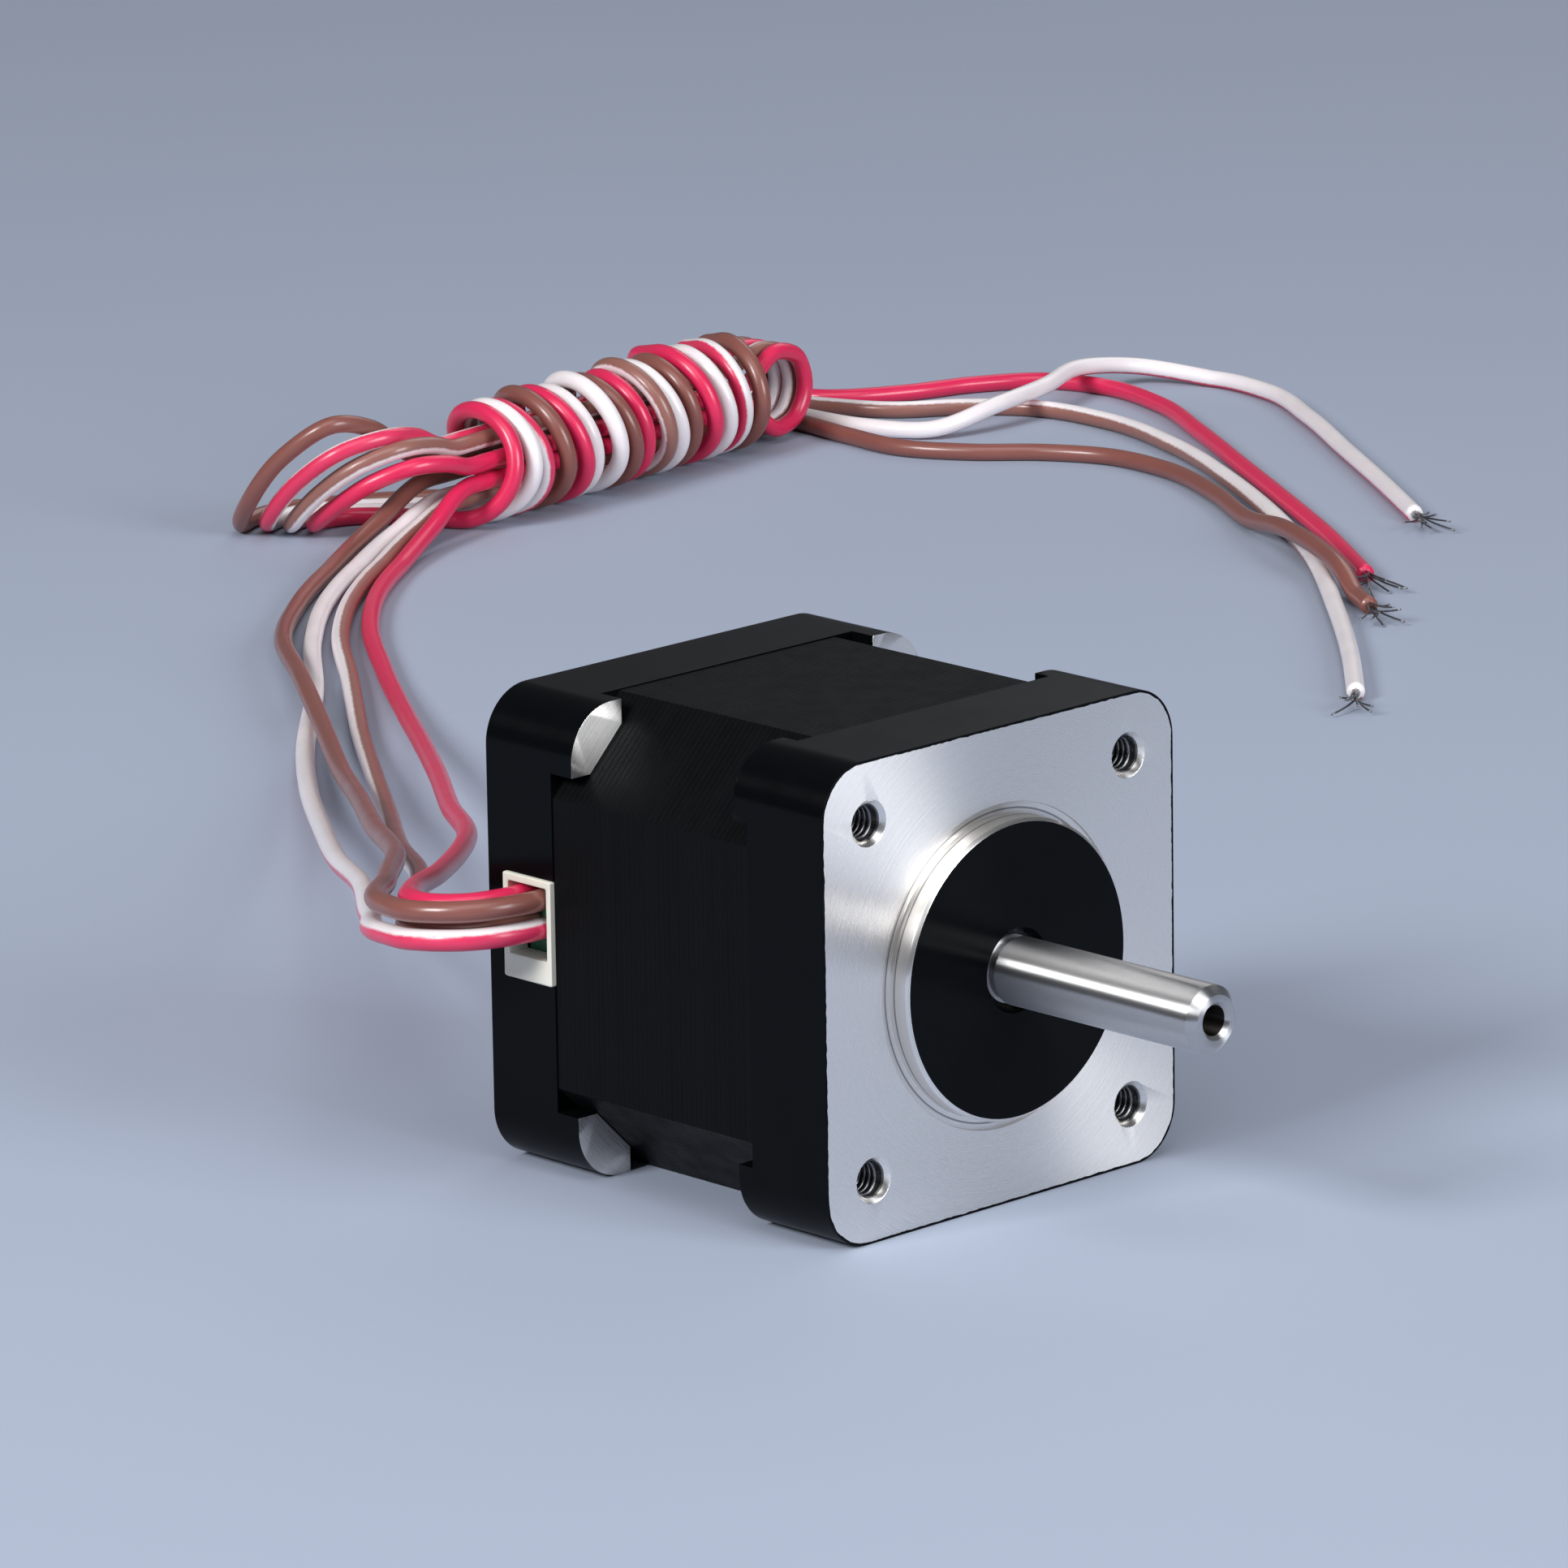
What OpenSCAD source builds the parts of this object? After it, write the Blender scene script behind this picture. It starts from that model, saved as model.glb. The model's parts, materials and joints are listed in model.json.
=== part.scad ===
// Hybrid stepper motor, 35 mm frame, with four flying leads wound into a hank.
// Origin: centre of the front mounting face, on the shaft axis.
// The shaft points to -Y, the body lies on +Y and rests on its flat side at the bottom.

/* [Frame] */
// Width and height of the square end caps
frame_w = 35.2; // [34:0.1:37]
// Radius of the end caps' corners
cap_corner_r = 4; // [2.5:0.1:5]
// Length of the front cap along the shaft
front_cap_len = 7.5; // [7.2:0.1:9]
// Length of the stack of stator sheets
stack_len = 20.2; // [16:0.2:40]
// Length of the rear cap along the shaft
rear_cap_len = 6.8; // [6.7:0.1:9]
// How far the stator sheets sit back from the caps' sides
stator_inset = 0.1; // [0:0.05:0.4]
// Length of each side of the stator's cut corners, along the edge
stator_cut = 6.7; // [6:0.1:6.9]
// How far the front cap's corner ears reach over the stator
front_ear = 1.4; // [0.5:0.1:2]
// How far the rear cap's corner ears reach over the stator
rear_ear = 2.2; // [0.5:0.1:3]

/* [Mounting] */
// Distance of each mounting hole from the two sides next to it
hole_inset = 4.6; // [4.4:0.1:4.8]
// Bore of the tapped mounting holes
hole_d = 2.5; // [2.2:0.1:3]
// Depth of the mounting holes
hole_depth = 4.5; // [3:0.1:4.6]
// Mouth of the countersink on each mounting hole
hole_mouth_d = 3.4; // [3.2:0.1:4]
// Diameter of the round pilot boss
pilot_d = 22; // [20:0.1:23]
// Height of the pilot boss above the face
pilot_h = 1.6; // [1:0.1:2.4]
// Width of the relief groove round the foot of the pilot
relief_w = 0.9; // [0.5:0.1:1.2]
// Depth of the relief groove
relief_depth = 0.25; // [0.1:0.05:0.4]

/* [Shaft] */
// Diameter of the shaft
shaft_d = 5; // [4:0.1:5]
// How far the shaft stands out from the mounting face
shaft_reach = 21; // [12:0.5:30]
// Chamfer on the shaft's tip
shaft_chamfer = 0.6; // [0.2:0.1:1]
// Diameter of the centre hole in the shaft's tip
centre_d = 2.2; // [1:0.1:2.6]
// Depth of the centre hole
centre_depth = 4; // [2:0.5:6]

/* [Rotor] */
// Number of teeth on each rotor cup
rotor_teeth = 50; // [40:10:60]
// Depth of the rotor's teeth
tooth_depth = 0.6; // [0.4:0.1:1]
// Air gap between rotor and stator
air_gap = 0.15; // [0.1:0.01:0.2]
// Thickness of the magnet disc between the cups
magnet_len = 2; // [1:0.1:3]
// How far the magnet sits back from the rotor's rim
magnet_inset = 2; // [1:0.1:3]

/* [Stator] */
// Number of teeth on each stator pole
pole_teeth = 5; // [4:1:6]
// Thickness of the stator's yoke behind the winding slots
yoke_t = 2.5; // [2.3:0.1:2.8]
// Depth of the winding slots, from the bore to the yoke
slot_depth = 4.35; // [4.1:0.05:4.6]
// Width of a pole's neck
pole_neck_w = 3.2; // [2.4:0.1:3.6]
// Thickness of a pole's shoe
pole_shoe = 0.9; // [0.6:0.1:1]
// Opening between the shoes of two poles
shoe_gap = 1.2; // [0.8:0.1:2]

/* [Windings] */
// Wall of the plastic winding formers
former_wall = 0.6; // [0.4:0.1:0.7]
// Height of the winding formers past the stack
former_h = 3.2; // [2.4:0.1:3.3]
// Space between neighbouring coils at their inner corners
coil_spacing = 1.6; // [1:0.1:2.4]

/* [Bearings] */
// Outer diameter of the ball bearings
bearing_d = 13; // [12:0.1:13.4]
// Width of the ball bearings
bearing_w = 4; // [3.6:0.1:4]
// Number of balls in each bearing
ball_count = 8; // [7:1:9]
// Diameter of the balls
ball_d = 1.9; // [1.6:0.05:1.9]
// Thickness of the bearing races
race_t = 1.3; // [1:0.05:1.35]
// Thickness of the wave washer behind the rear bearing
wave_t = 0.5; // [0.3:0.1:0.8]

/* [Screws] */
// Thread diameter of the assembly screws
screw_d = 2.5; // [2:0.1:2.5]
// Head diameter of the assembly screws
screw_head_d = 4.4; // [4:0.1:4.6]
// Head height of the assembly screws
screw_head_h = 1.5; // [1:0.1:1.8]
// Thickness of the lock washers
lock_t = 0.6; // [0.4:0.1:0.8]

/* [Leads] */
// Diameter of each lead over its insulation
lead_d = 1.6; // [1.2:0.1:1.6]
// Bare length at the end of each lead
strip_len = 6; // [3:0.5:8]
// Width of the lead grommet along the body
grommet_w = 5; // [4.8:0.1:5]
// Height of the lead grommet
grommet_h = 7.8; // [7:0.1:9]
// How far the grommet stands out from the cap
grommet_proud = 0.3; // [0.1:0.1:0.6]

/* [Hidden] */
$fn = 64;

// One overrun for every cut
over = 0.5;
// Running clearance between turning parts
run_clear = 0.05;
// Clearance round the bearings' balls, and round the shaft where it leaves the boss
ball_clear = 0.05;
shaft_clear = 0.6;
// Clearance of the screws in their holes
screw_clear = 0.1;
thread_clear = 0.02;
head_clear = 0.15;

// Places along the shaft, from the mounting face
stack_y0 = front_cap_len;
stack_y1 = stack_y0 + stack_len;
rear_y = stack_y1 + rear_cap_len;

// Insides of the caps
cap_wall = 1.6;
cavity_r = frame_w/2 - cap_wall;
hub_wall = 1.75;
hub_r = bearing_d/2 + hub_wall;
front_web_y = 3.2;
rear_web_t = 2.3;
front_hub_len = 1.8;

// Bearings: the front one seats against the boss, the rear one on its wave washer
front_seat_y = 0.6;
rear_end_wall = 1.2;
wave_y = rear_y - rear_end_wall - wave_t;
rear_seat_y = wave_y - bearing_w;
ball_orbit_r = (shaft_d + bearing_d)/4;
shield_t = 0.25;
shield_inset = 0.2;
shield_run = 0.15;
washer_inset = 0.2;
cage_t = 0.5;
cage_rim = 0.3;

// Rotor, which fills the stator's bore but for the air gap
rotor_d = 2*(frame_w/2 - stator_inset - yoke_t - slot_depth - air_gap);
magnet_d = rotor_d - 2*magnet_inset;
spacer_wall = 1.2;
cup_gap = 0.4;
cup_len = (stack_len - magnet_len)/2 - cup_gap;
front_cup_y = stack_y0 + cup_gap;
magnet_y = front_cup_y + cup_len;
rear_cup_y = magnet_y + magnet_len;
rotor_end_y = rear_cup_y + cup_len;
cup_recess_r = 6.5;
cup_recess = 0.8;
shaft_end_gap = 0.3;
shaft_end_y = rear_y - rear_end_wall - shaft_end_gap;
tooth_share = 0.45;
centre_cone = 0.3;

// Relief groove round the shaft where it leaves the boss
shaft_groove_w = 0.8;
shaft_groove_depth = 0.25;
shaft_groove_proud = 0.1;

// Stator, from the outside in
poles = 8;
stator_w = frame_w - 2*stator_inset;
slot_r = stator_w/2 - yoke_t;
stator_bore_r = slot_r - slot_depth;
small_tooth_pitch = 360/48;
small_tooth_depth = 0.35;
small_groove_share = 0.5;
screw_hole_r = screw_d/2 + screw_clear;

// Winding formers and coils, from the bore outward
former_rim_r0 = stator_bore_r + pole_shoe;
former_t = 0.8;
coil_r0 = former_rim_r0 + former_wall + run_clear;
coil_r1 = slot_r - former_wall - run_clear;
coil_in_w = pole_neck_w + 2*former_wall + 2*run_clear;
coil_out_w = 2*coil_r0*tan(180/poles) - coil_spacing;
coil_corner_r = 1;
coil_in_len = stack_len + 2*former_t + 2*run_clear;
coil_end_gap = 0.2;
coil_out_len = stack_len + 2*(former_h - coil_end_gap);
former_notch_w = 8.4;

// Corner places of the screws and mounting holes
corner = frame_w/2 - hole_inset;
screw_bore_r = screw_head_d/2 + head_clear;
screw_seat_depth = screw_head_h + lock_t + 2*screw_clear;
screw_seat_y = rear_y - screw_seat_depth;
screw_tip_gap = 0.3;
screw_tip_y = hole_depth + screw_tip_gap;
recess_w = 0.7;
recess_len = 2.4;
recess_depth = 0.9;
lock_gap = 0.5;

// Edges of the caps
edge_chamfer = 0.25;
ear_margin = 5;

// Lead grommet in the rear cap's left side, open to the parting line
grommet_wall = 0.5;
grommet_y = stack_y1;
grommet_z = 0.7;
grommet_x0 = -frame_w/2 - grommet_proud;
grommet_x1 = -cavity_r;
grommet_rim = 0.6;
grommet_foot = 1.2;
lead_pitch = 2.1;
lead_y = grommet_y + grommet_w/2;
lead_z = 1.95;
board_t = 0.8;
board_w = 3.4;
board_h = 7.6;
solder_r = 0.6;

// Leads: how finely they are drawn, and the bare copper at their ends
lead_sides = 8;
ring_step = 3*lead_d;
wound_sides = 6;
turn_rings = 24;
conductor_d = 0.7;
lead_r = lead_d/2;
lay_z = lead_r - frame_w/2;

// The hank: all four leads wind side by side round the same oval, and lie on the surface under the motor
hank_leads = 4;
hank_pitch = 9.6;
hank_half_w = 4.9;
hank_half_h = 4.6;
hank_tilt = 8;
hank_rings = 85;
hank_start = [116, 185, lay_z + hank_half_h];

// Routes of the four leads from the terminal board to the hank
red_route = [
    [-16, 31.25, 3], [-19, 31.25, 3], [-21.6, 32.4, 2.9], [-23, 35.1, 2.7], [-22.1, 37.9, 2.4], [-19, 41.3, 1.7],
    [-9.5, 49, -0.3], [7, 64, -3.5], [22.5, 83, -7.5], [37.5, 101, -11], [51.5, 118.5, -14], [63, 133.5, -16],
    [73, 147, -16.8], [83, 160, -16.8], [92, 171.5, -16.8], [99, 182.5, -16.8], [102.5, 189.5, -16.8],
    [105.5, 192.4, -16.8], [109.3, 192.9, -16.8], [112.4, 191.3, -16.8], [113.7, 189.6, -16.8]];
white_brown_route = [
    [-16, 31.25, 0.9], [-19, 31.25, 0.9], [-21.6, 32.4, 0.8], [-23, 35.1, 0.6], [-22.2, 38, 0.2],
    [-19.3, 41.6, -0.6], [-11.5, 49.6, -2.6], [3.5, 65.5, -6], [18, 84, -10], [32.5, 101.5, -13.3],
    [46.5, 119, -15.6], [58, 133.5, -16.8], [69, 147, -16.8], [79.5, 160, -16.8], [88.8, 171.5, -16.8],
    [96.5, 182.5, -16.8], [100, 190, -16.8], [104, 195, -16.8], [109.4, 196.3, -16.8], [113.6, 194, -16.8],
    [116, 190, -16.8]];
white_red_route = [
    [-16, 29.15, 0.9], [-19, 29.15, 0.9], [-22.9, 30.8, 0.8], [-24.9, 34.8, 0.5], [-23.9, 38.9, 0],
    [-16, 49.2, -2.4], [-1.5, 66.5, -6], [12, 84.5, -10], [25.5, 101.5, -13.3], [39, 118.5, -15.6],
    [51, 132.5, -16.8], [64.5, 146.5, -16.8], [76.3, 160, -16.8], [85.8, 171.8, -16.8], [93.7, 183, -16.8],
    [97.5, 191, -16.8], [102.5, 197.2, -16.8], [109.5, 199, -16.8], [115.4, 196, -16.8], [118.6, 190, -16.8]];
brown_route = [
    [-16, 29.15, 3], [-19, 29.15, 3], [-22.9, 30.8, 2.9], [-24.9, 34.8, 2.6], [-23.7, 39, 2.1], [-14, 49.7, -0.1],
    [1.5, 66, -4], [15.5, 84, -8], [29, 101, -11.3], [42, 118, -14.2], [52.5, 132, -15], [62.5, 146, -15],
    [72, 159, -15.8], [82, 172, -16.8], [90.7, 184, -16.8], [95, 192.3, -16.8], [100.8, 199.4, -16.8],
    [109.5, 201.7, -16.8], [117, 198, -16.8], [121, 191, -16.8]];

// Routes from the hank to the ends of the insulation
red_tail = [
    [150.6, 198, -11], [151.8, 203, -14], [155, 208.3, -16], [161, 210.8, -16.8], [167.3, 209, -16.8],
    [171.5, 203.5, -16.8], [174.5, 196.5, -16.8], [181, 192.5, -16.8], [188, 190.2, -16.8], [193.5, 186.5, -16.8],
    [195.5, 180, -16.8], [193.5, 171, -16.8], [187.5, 160, -16.8], [180, 147.5, -16.8], [172.5, 135, -16.8],
    [164.5, 122, -16.8], [156, 109.5, -16.8]];
white_brown_tail = [
    [153, 198, -11], [154.2, 202.7, -14.2], [157, 206.8, -16.2], [161.3, 208.4, -16.8], [166, 207, -16.8],
    [169.2, 202, -16.8], [171.5, 195, -16.8], [175, 188, -16.8], [180.5, 183.8, -16.8], [184.5, 178, -16.8],
    [185, 169.5, -16.8], [181.3, 157, -16.8], [174.8, 144, -16.8], [167, 131, -16.8], [157.5, 117.5, -16.8],
    [145.5, 103.5, -16.8], [133.5, 90.5, -16.8], [124, 81, -16.8]];
white_red_tail = [
    [155.4, 198, -11], [156.3, 201.7, -14], [158.4, 205, -15.8], [161.8, 206.2, -16.7], [165.2, 204.8, -16.8],
    [167.1, 201, -16.8], [167.3, 193, -16.8], [168, 185, -16.8], [171, 178.8, -16.6], [178, 177.3, -15.2],
    [186, 179, -15], [194, 181.9, -14.9], [201, 181, -15.8], [205, 175, -16.8], [204.3, 167, -16.8],
    [198.8, 156.5, -16.8], [191.3, 145, -16.8], [183.8, 133.5, -16.8], [176, 122, -16.8]];
brown_tail = [
    [157.6, 197.5, -11.2], [158, 200.3, -13.4], [159.5, 202.6, -15.2], [162.2, 203.4, -16.3], [164.6, 202, -16.8],
    [165.4, 198.5, -16.8], [165.2, 191, -16.8], [164.2, 183, -16.8], [164, 176, -16.8], [167, 170, -16.8],
    [171.5, 164.8, -16.8], [174.3, 159, -16.8], [174, 151.5, -16.8], [170, 141.5, -16.8], [164, 131.5, -16.6],
    [158.8, 122, -15.1], [154.8, 114, -15], [151.8, 108.5, -15.5], [149.6, 104.7, -16.8], [147.5, 101.2, -16.8]];

// Draws its children with their own Z along the shaft, starting at y
module along_shaft(y) {
    translate([0, y, 0]) rotate([-90, 0, 0]) children();
}

// Draws its children once at each corner hole
module at_corners() {
    for (sx = [-1, 1], sz = [-1, 1]) translate([sx*corner, 0, sz*corner]) children();
}

// Rounded square from plain squares and circles, so that its corners stay true arcs
module rounded_square(w, r) {
    square([w - 2*r, w], center = true);
    square([w, w - 2*r], center = true);
    for (sx = [-1, 1], sy = [-1, 1]) translate([sx*(w/2 - r), sy*(w/2 - r)]) circle(r = r);
}

// Rounded rectangle, for the coils
module rounded_rect(w, h, r) {
    square([w - 2*r, h], center = true);
    square([w, h - 2*r], center = true);
    for (sx = [-1, 1], sy = [-1, 1]) translate([sx*(w/2 - r), sy*(h/2 - r)]) circle(r = r);
}

module ring(r_out, r_in, len) {
    difference() {
        cylinder(r = r_out, h = len);
        translate([0, 0, -over]) cylinder(r = r_in, h = len + 2*over);
    }
}

// Outline of one stator sheet: a square with its corners cut off
module stator_outline(grow = 0) {
    h = stator_w/2 + grow;
    c = stator_w/2 - stator_cut + tan(45/2)*grow;
    polygon([[-c, -h], [c, -h], [h, -c], [h, c], [c, h], [-c, h], [-h, c], [-h, -c]]);
}

// The cap's corner outside the cut corner of the stator, which reaches over the stack
module ear_outline() {
    reach = frame_w/2 - ear_margin;
    difference() {
        intersection() {
            rounded_square(frame_w, cap_corner_r);
            for (sx = [-1, 1], sy = [-1, 1])
                translate([sx*(reach + frame_w/2), sy*(reach + frame_w/2)]) square(frame_w, center = true);
        }
        stator_outline(grow = run_clear);
    }
}

module front_cap() {
    color("gainsboro") difference() {
        union() {
            along_shaft(0) linear_extrude(front_cap_len) rounded_square(frame_w, cap_corner_r);
            along_shaft(front_cap_len - over) linear_extrude(front_ear + over) ear_outline();
            along_shaft(-pilot_h) cylinder(r1 = pilot_d/2 - edge_chamfer, r2 = pilot_d/2, h = edge_chamfer);
            along_shaft(edge_chamfer - pilot_h) cylinder(d = pilot_d, h = pilot_h);
        }
        along_shaft(-over) ring(pilot_d/2 + relief_w, pilot_d/2, relief_depth + over);
        along_shaft(front_web_y) difference() {
            cylinder(r = cavity_r, h = front_cap_len + front_ear);
            translate([0, 0, -over]) cylinder(r = hub_r, h = front_hub_len + over);
        }
        along_shaft(front_seat_y) cylinder(d = bearing_d, h = front_cap_len);
        along_shaft(-pilot_h - over) cylinder(r = shaft_d/2 + shaft_clear, h = pilot_h + front_cap_len);
        at_corners() {
            along_shaft(-over) cylinder(d = hole_d, h = hole_depth + over);
            along_shaft(0) cylinder(d1 = hole_mouth_d, d2 = hole_d, h = (hole_mouth_d - hole_d)/2);
            along_shaft(hole_depth) cylinder(r = screw_d/2 + thread_clear, h = front_cap_len + front_ear);
        }
    }
}

module rear_cap() {
    color("dimgray") difference() {
        union() {
            along_shaft(stack_y1) linear_extrude(rear_cap_len) rounded_square(frame_w, cap_corner_r);
            along_shaft(stack_y1 - rear_ear) linear_extrude(rear_ear + over) ear_outline();
        }
        along_shaft(stack_y1 - rear_ear) difference() {
            cylinder(r = cavity_r, h = rear_ear + rear_cap_len - rear_web_t);
            translate([0, 0, rear_seat_y - stack_y1 + rear_ear]) cylinder(r = hub_r, h = rear_cap_len);
        }
        along_shaft(stack_y1) cylinder(d = bearing_d, h = rear_cap_len - rear_end_wall);
        at_corners() {
            along_shaft(stack_y1 - over) cylinder(r = screw_hole_r, h = rear_cap_len + over);
            along_shaft(screw_seat_y) cylinder(r = screw_bore_r, h = screw_seat_depth + over);
        }
        grommet_slot();
    }
}

// Window in the rear cap's side that the grommet fills
module grommet_slot() {
    translate([-frame_w/2 - over, grommet_y - over, grommet_z - grommet_h/2])
        cube([cap_wall + board_t + 2*over, grommet_w + over, grommet_h]);
}

module pole_shape() {
    half_sector = 180/poles;
    shoe_r = stator_bore_r + pole_shoe;
    shoe_half = half_sector - asin(shoe_gap/2/stator_bore_r);
    intersection() {
        difference() {
            circle(r = shoe_r);
            circle(r = stator_bore_r);
        }
        polygon([[0, 0], [frame_w*cos(shoe_half), -frame_w*sin(shoe_half)],
                 [frame_w*cos(shoe_half), frame_w*sin(shoe_half)]]);
    }
    translate([stator_bore_r + pole_shoe/2, -pole_neck_w/2])
        square([slot_r - stator_bore_r, pole_neck_w]);
}

module stator_stack() {
    color("black") difference() {
        along_shaft(stack_y0) linear_extrude(stack_len) difference() {
            union() {
                difference() {
                    stator_outline();
                    circle(r = slot_r);
                }
                for (i = [0:poles - 1]) rotate(i*360/poles) pole_shape();
            }
            for (i = [0:poles - 1], j = [0:pole_teeth - 2])
                rotate(i*360/poles + (j - (pole_teeth - 2)/2)*small_tooth_pitch)
                    translate([stator_bore_r, 0])
                        square([2*small_tooth_depth, stator_bore_r*small_tooth_pitch*PI/180*small_groove_share],
                               center = true);
            for (sx = [-1, 1], sy = [-1, 1]) translate([sx*corner, sy*corner]) circle(r = screw_hole_r);
        }
    }
}

// Plastic former on one end of the stack: a plate with an arm on each pole, and two rims for the wire
module winding_former_shape() {
    arm_w = pole_neck_w + 2*former_wall;
    difference() {
        union() {
            ring(slot_r + former_wall, slot_r, former_t);
            for (i = [0:poles - 1]) rotate(i*360/poles) {
                translate([former_rim_r0, -arm_w/2, 0])
                    cube([slot_r - former_rim_r0 + former_wall/2, arm_w, former_t]);
                translate([former_rim_r0, -coil_out_w/4, 0]) cube([former_wall, coil_out_w/2, former_h]);
                translate([slot_r - former_wall, -coil_out_w/2, 0]) cube([former_wall, coil_out_w, former_h]);
            }
        }
        translate([-slot_r - over, -grommet_z - former_notch_w/2, former_t])
            cube([slot_r - coil_r1 + over, former_notch_w, former_h]);
    }
}

module front_winding_former() {
    color("ivory") translate([0, stack_y0, 0]) rotate([90, 0, 0]) winding_former_shape();
}

module rear_winding_former() {
    color("ivory") along_shaft(stack_y1) winding_former_shape();
}

// One coil, wound round the pole at angle a
module coil(a) {
    depth = coil_r1 - coil_r0;
    translate([0, (stack_y0 + stack_y1)/2, 0]) rotate([0, a, 0]) translate([coil_r0, 0, 0])
        rotate([90, 0, 90]) linear_extrude(depth) difference() {
            rounded_rect(coil_out_len, coil_out_w, coil_corner_r);
            square([coil_in_len, coil_in_w], center = true);
        }
}

module phase_a_coils() {
    color("darkorange") for (i = [0:2:poles - 1]) coil(i*360/poles);
}

module phase_b_coils() {
    color("orangered") for (i = [1:2:poles - 1]) coil(i*360/poles);
}

module shaft() {
    len = shaft_reach + shaft_end_y;
    r = shaft_d/2;
    groove_end = shaft_reach - pilot_h + shaft_groove_w - shaft_groove_proud;
    color("silver") difference() {
        along_shaft(-shaft_reach) rotate_extrude()
            polygon([[0, 0], [r - shaft_chamfer, 0], [r, shaft_chamfer],
                     [r, groove_end - shaft_groove_w], [r - shaft_groove_depth, groove_end - shaft_groove_w],
                     [r - shaft_groove_depth, groove_end], [r, groove_end],
                     [r, len - shaft_chamfer/2], [r - shaft_chamfer/2, len], [0, len]]);
        along_shaft(-shaft_reach - over) cylinder(d = centre_d, h = centre_depth + over);
        along_shaft(-shaft_reach) cylinder(r1 = centre_d/2 + centre_cone, r2 = centre_d/2, h = centre_cone);
    }
}

// One toothed rotor cup, starting at y; phase turns it so that its teeth sit over the other cup's gaps
module rotor_cup(y, phase, recess_y) {
    gap_w = PI*rotor_d/rotor_teeth*(1 - tooth_share);
    difference() {
        along_shaft(y) linear_extrude(cup_len) difference() {
            circle(d = rotor_d);
            circle(d = shaft_d);
            for (i = [0:rotor_teeth - 1]) rotate((i + phase)*360/rotor_teeth)
                translate([rotor_d/2 - tooth_depth, -gap_w/2]) square([tooth_depth + over, gap_w]);
        }
        along_shaft(recess_y) cylinder(r = cup_recess_r, h = cup_recess);
    }
}

module front_rotor_cup() {
    color("slategray") rotor_cup(front_cup_y, 0, front_cup_y);
}

module rear_rotor_cup() {
    color("slategray") rotor_cup(rear_cup_y, 1/2, rotor_end_y - cup_recess);
}

module rotor_magnet() {
    color("darkslategray") along_shaft(magnet_y) ring(magnet_d/2, shaft_d/2, magnet_len);
}

module front_spacer() {
    y = front_seat_y + bearing_w;
    color("darkgoldenrod") along_shaft(y)
        ring(shaft_d/2 + spacer_wall, shaft_d/2, front_cup_y + cup_recess - y);
}

module rear_spacer() {
    y = rotor_end_y - cup_recess;
    color("darkgoldenrod") along_shaft(y) ring(shaft_d/2 + spacer_wall, shaft_d/2, rear_seat_y - y);
}

// The balls' groove, as a cutter round the bearing's middle
module ball_groove() {
    rotate_extrude() translate([ball_orbit_r, bearing_w/2]) circle(r = ball_d/2 + ball_clear);
}

module outer_race(y) {
    color("lightsteelblue") along_shaft(y) difference() {
        ring(bearing_d/2, bearing_d/2 - race_t, bearing_w);
        ball_groove();
    }
}

module inner_race(y) {
    color("lightsteelblue") along_shaft(y) difference() {
        ring(shaft_d/2 + race_t, shaft_d/2, bearing_w);
        ball_groove();
    }
}

module balls(y) {
    color("white") along_shaft(y + bearing_w/2)
        for (i = [0:ball_count - 1]) rotate(i*360/ball_count) translate([ball_orbit_r, 0, 0])
            sphere(d = ball_d, $fn = 32);
}

module cage(y) {
    half_w = ball_d/2 + ball_clear + cage_rim;
    color("peru") along_shaft(y + bearing_w/2 - half_w) difference() {
        ring(ball_orbit_r + cage_t/2, ball_orbit_r - cage_t/2, 2*half_w);
        for (i = [0:ball_count - 1]) rotate(i*360/ball_count)
            translate([ball_orbit_r - cage_t, 0, half_w]) rotate([0, 90, 0])
                cylinder(d = ball_d + 2*ball_clear, h = 2*cage_t);
    }
}

module shields(y) {
    color("gainsboro") for (z = [shield_inset, bearing_w - shield_inset - shield_t]) along_shaft(y + z)
        ring(bearing_d/2 - race_t, shaft_d/2 + race_t + shield_run, shield_t);
}

module preload_washer() {
    color("silver") along_shaft(wave_y) ring(bearing_d/2 - washer_inset, bearing_d/2 - race_t, wave_t);
}

module assembly_screws() {
    head_y = screw_seat_y + lock_t;
    color("silver") at_corners() difference() {
        union() {
            along_shaft(screw_tip_y) cylinder(d = screw_d, h = head_y - screw_tip_y + over);
            along_shaft(head_y) cylinder(d = screw_head_d, h = screw_head_h);
        }
        along_shaft(head_y + screw_head_h - recess_depth) for (a = [0, 90]) rotate(a + 45)
            translate([-recess_len/2, -recess_w/2, 0]) cube([recess_len, recess_w, recess_depth + over]);
    }
}

// Split lock washers under the screw heads
module lock_washers() {
    color("lightgray") at_corners() along_shaft(screw_seat_y) difference() {
        ring(screw_head_d/2 - screw_clear, screw_d/2 + screw_clear, lock_t);
        translate([0, -lock_gap/2, -over]) cube([screw_head_d, lock_gap, lock_t + 2*over]);
    }
}

module lead_grommet() {
    depth = grommet_x1 - grommet_x0;
    slot_w = grommet_w - 2*grommet_wall;
    slot_h = grommet_h - 2*grommet_rim - grommet_foot;
    color("cornsilk") difference() {
        translate([grommet_x0, grommet_y, grommet_z - grommet_h/2]) cube([depth, grommet_w, grommet_h]);
        translate([grommet_x0 - over, grommet_y + grommet_wall, grommet_z + grommet_h/2 - grommet_rim - slot_h])
            cube([depth + 2*over, slot_w, slot_h]);
    }
}

module terminal_board() {
    color("darkgreen")
        translate([grommet_x1, stack_y1 + former_t + run_clear, grommet_z - board_h/2])
            cube([board_t, board_w, board_h]);
}

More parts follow.
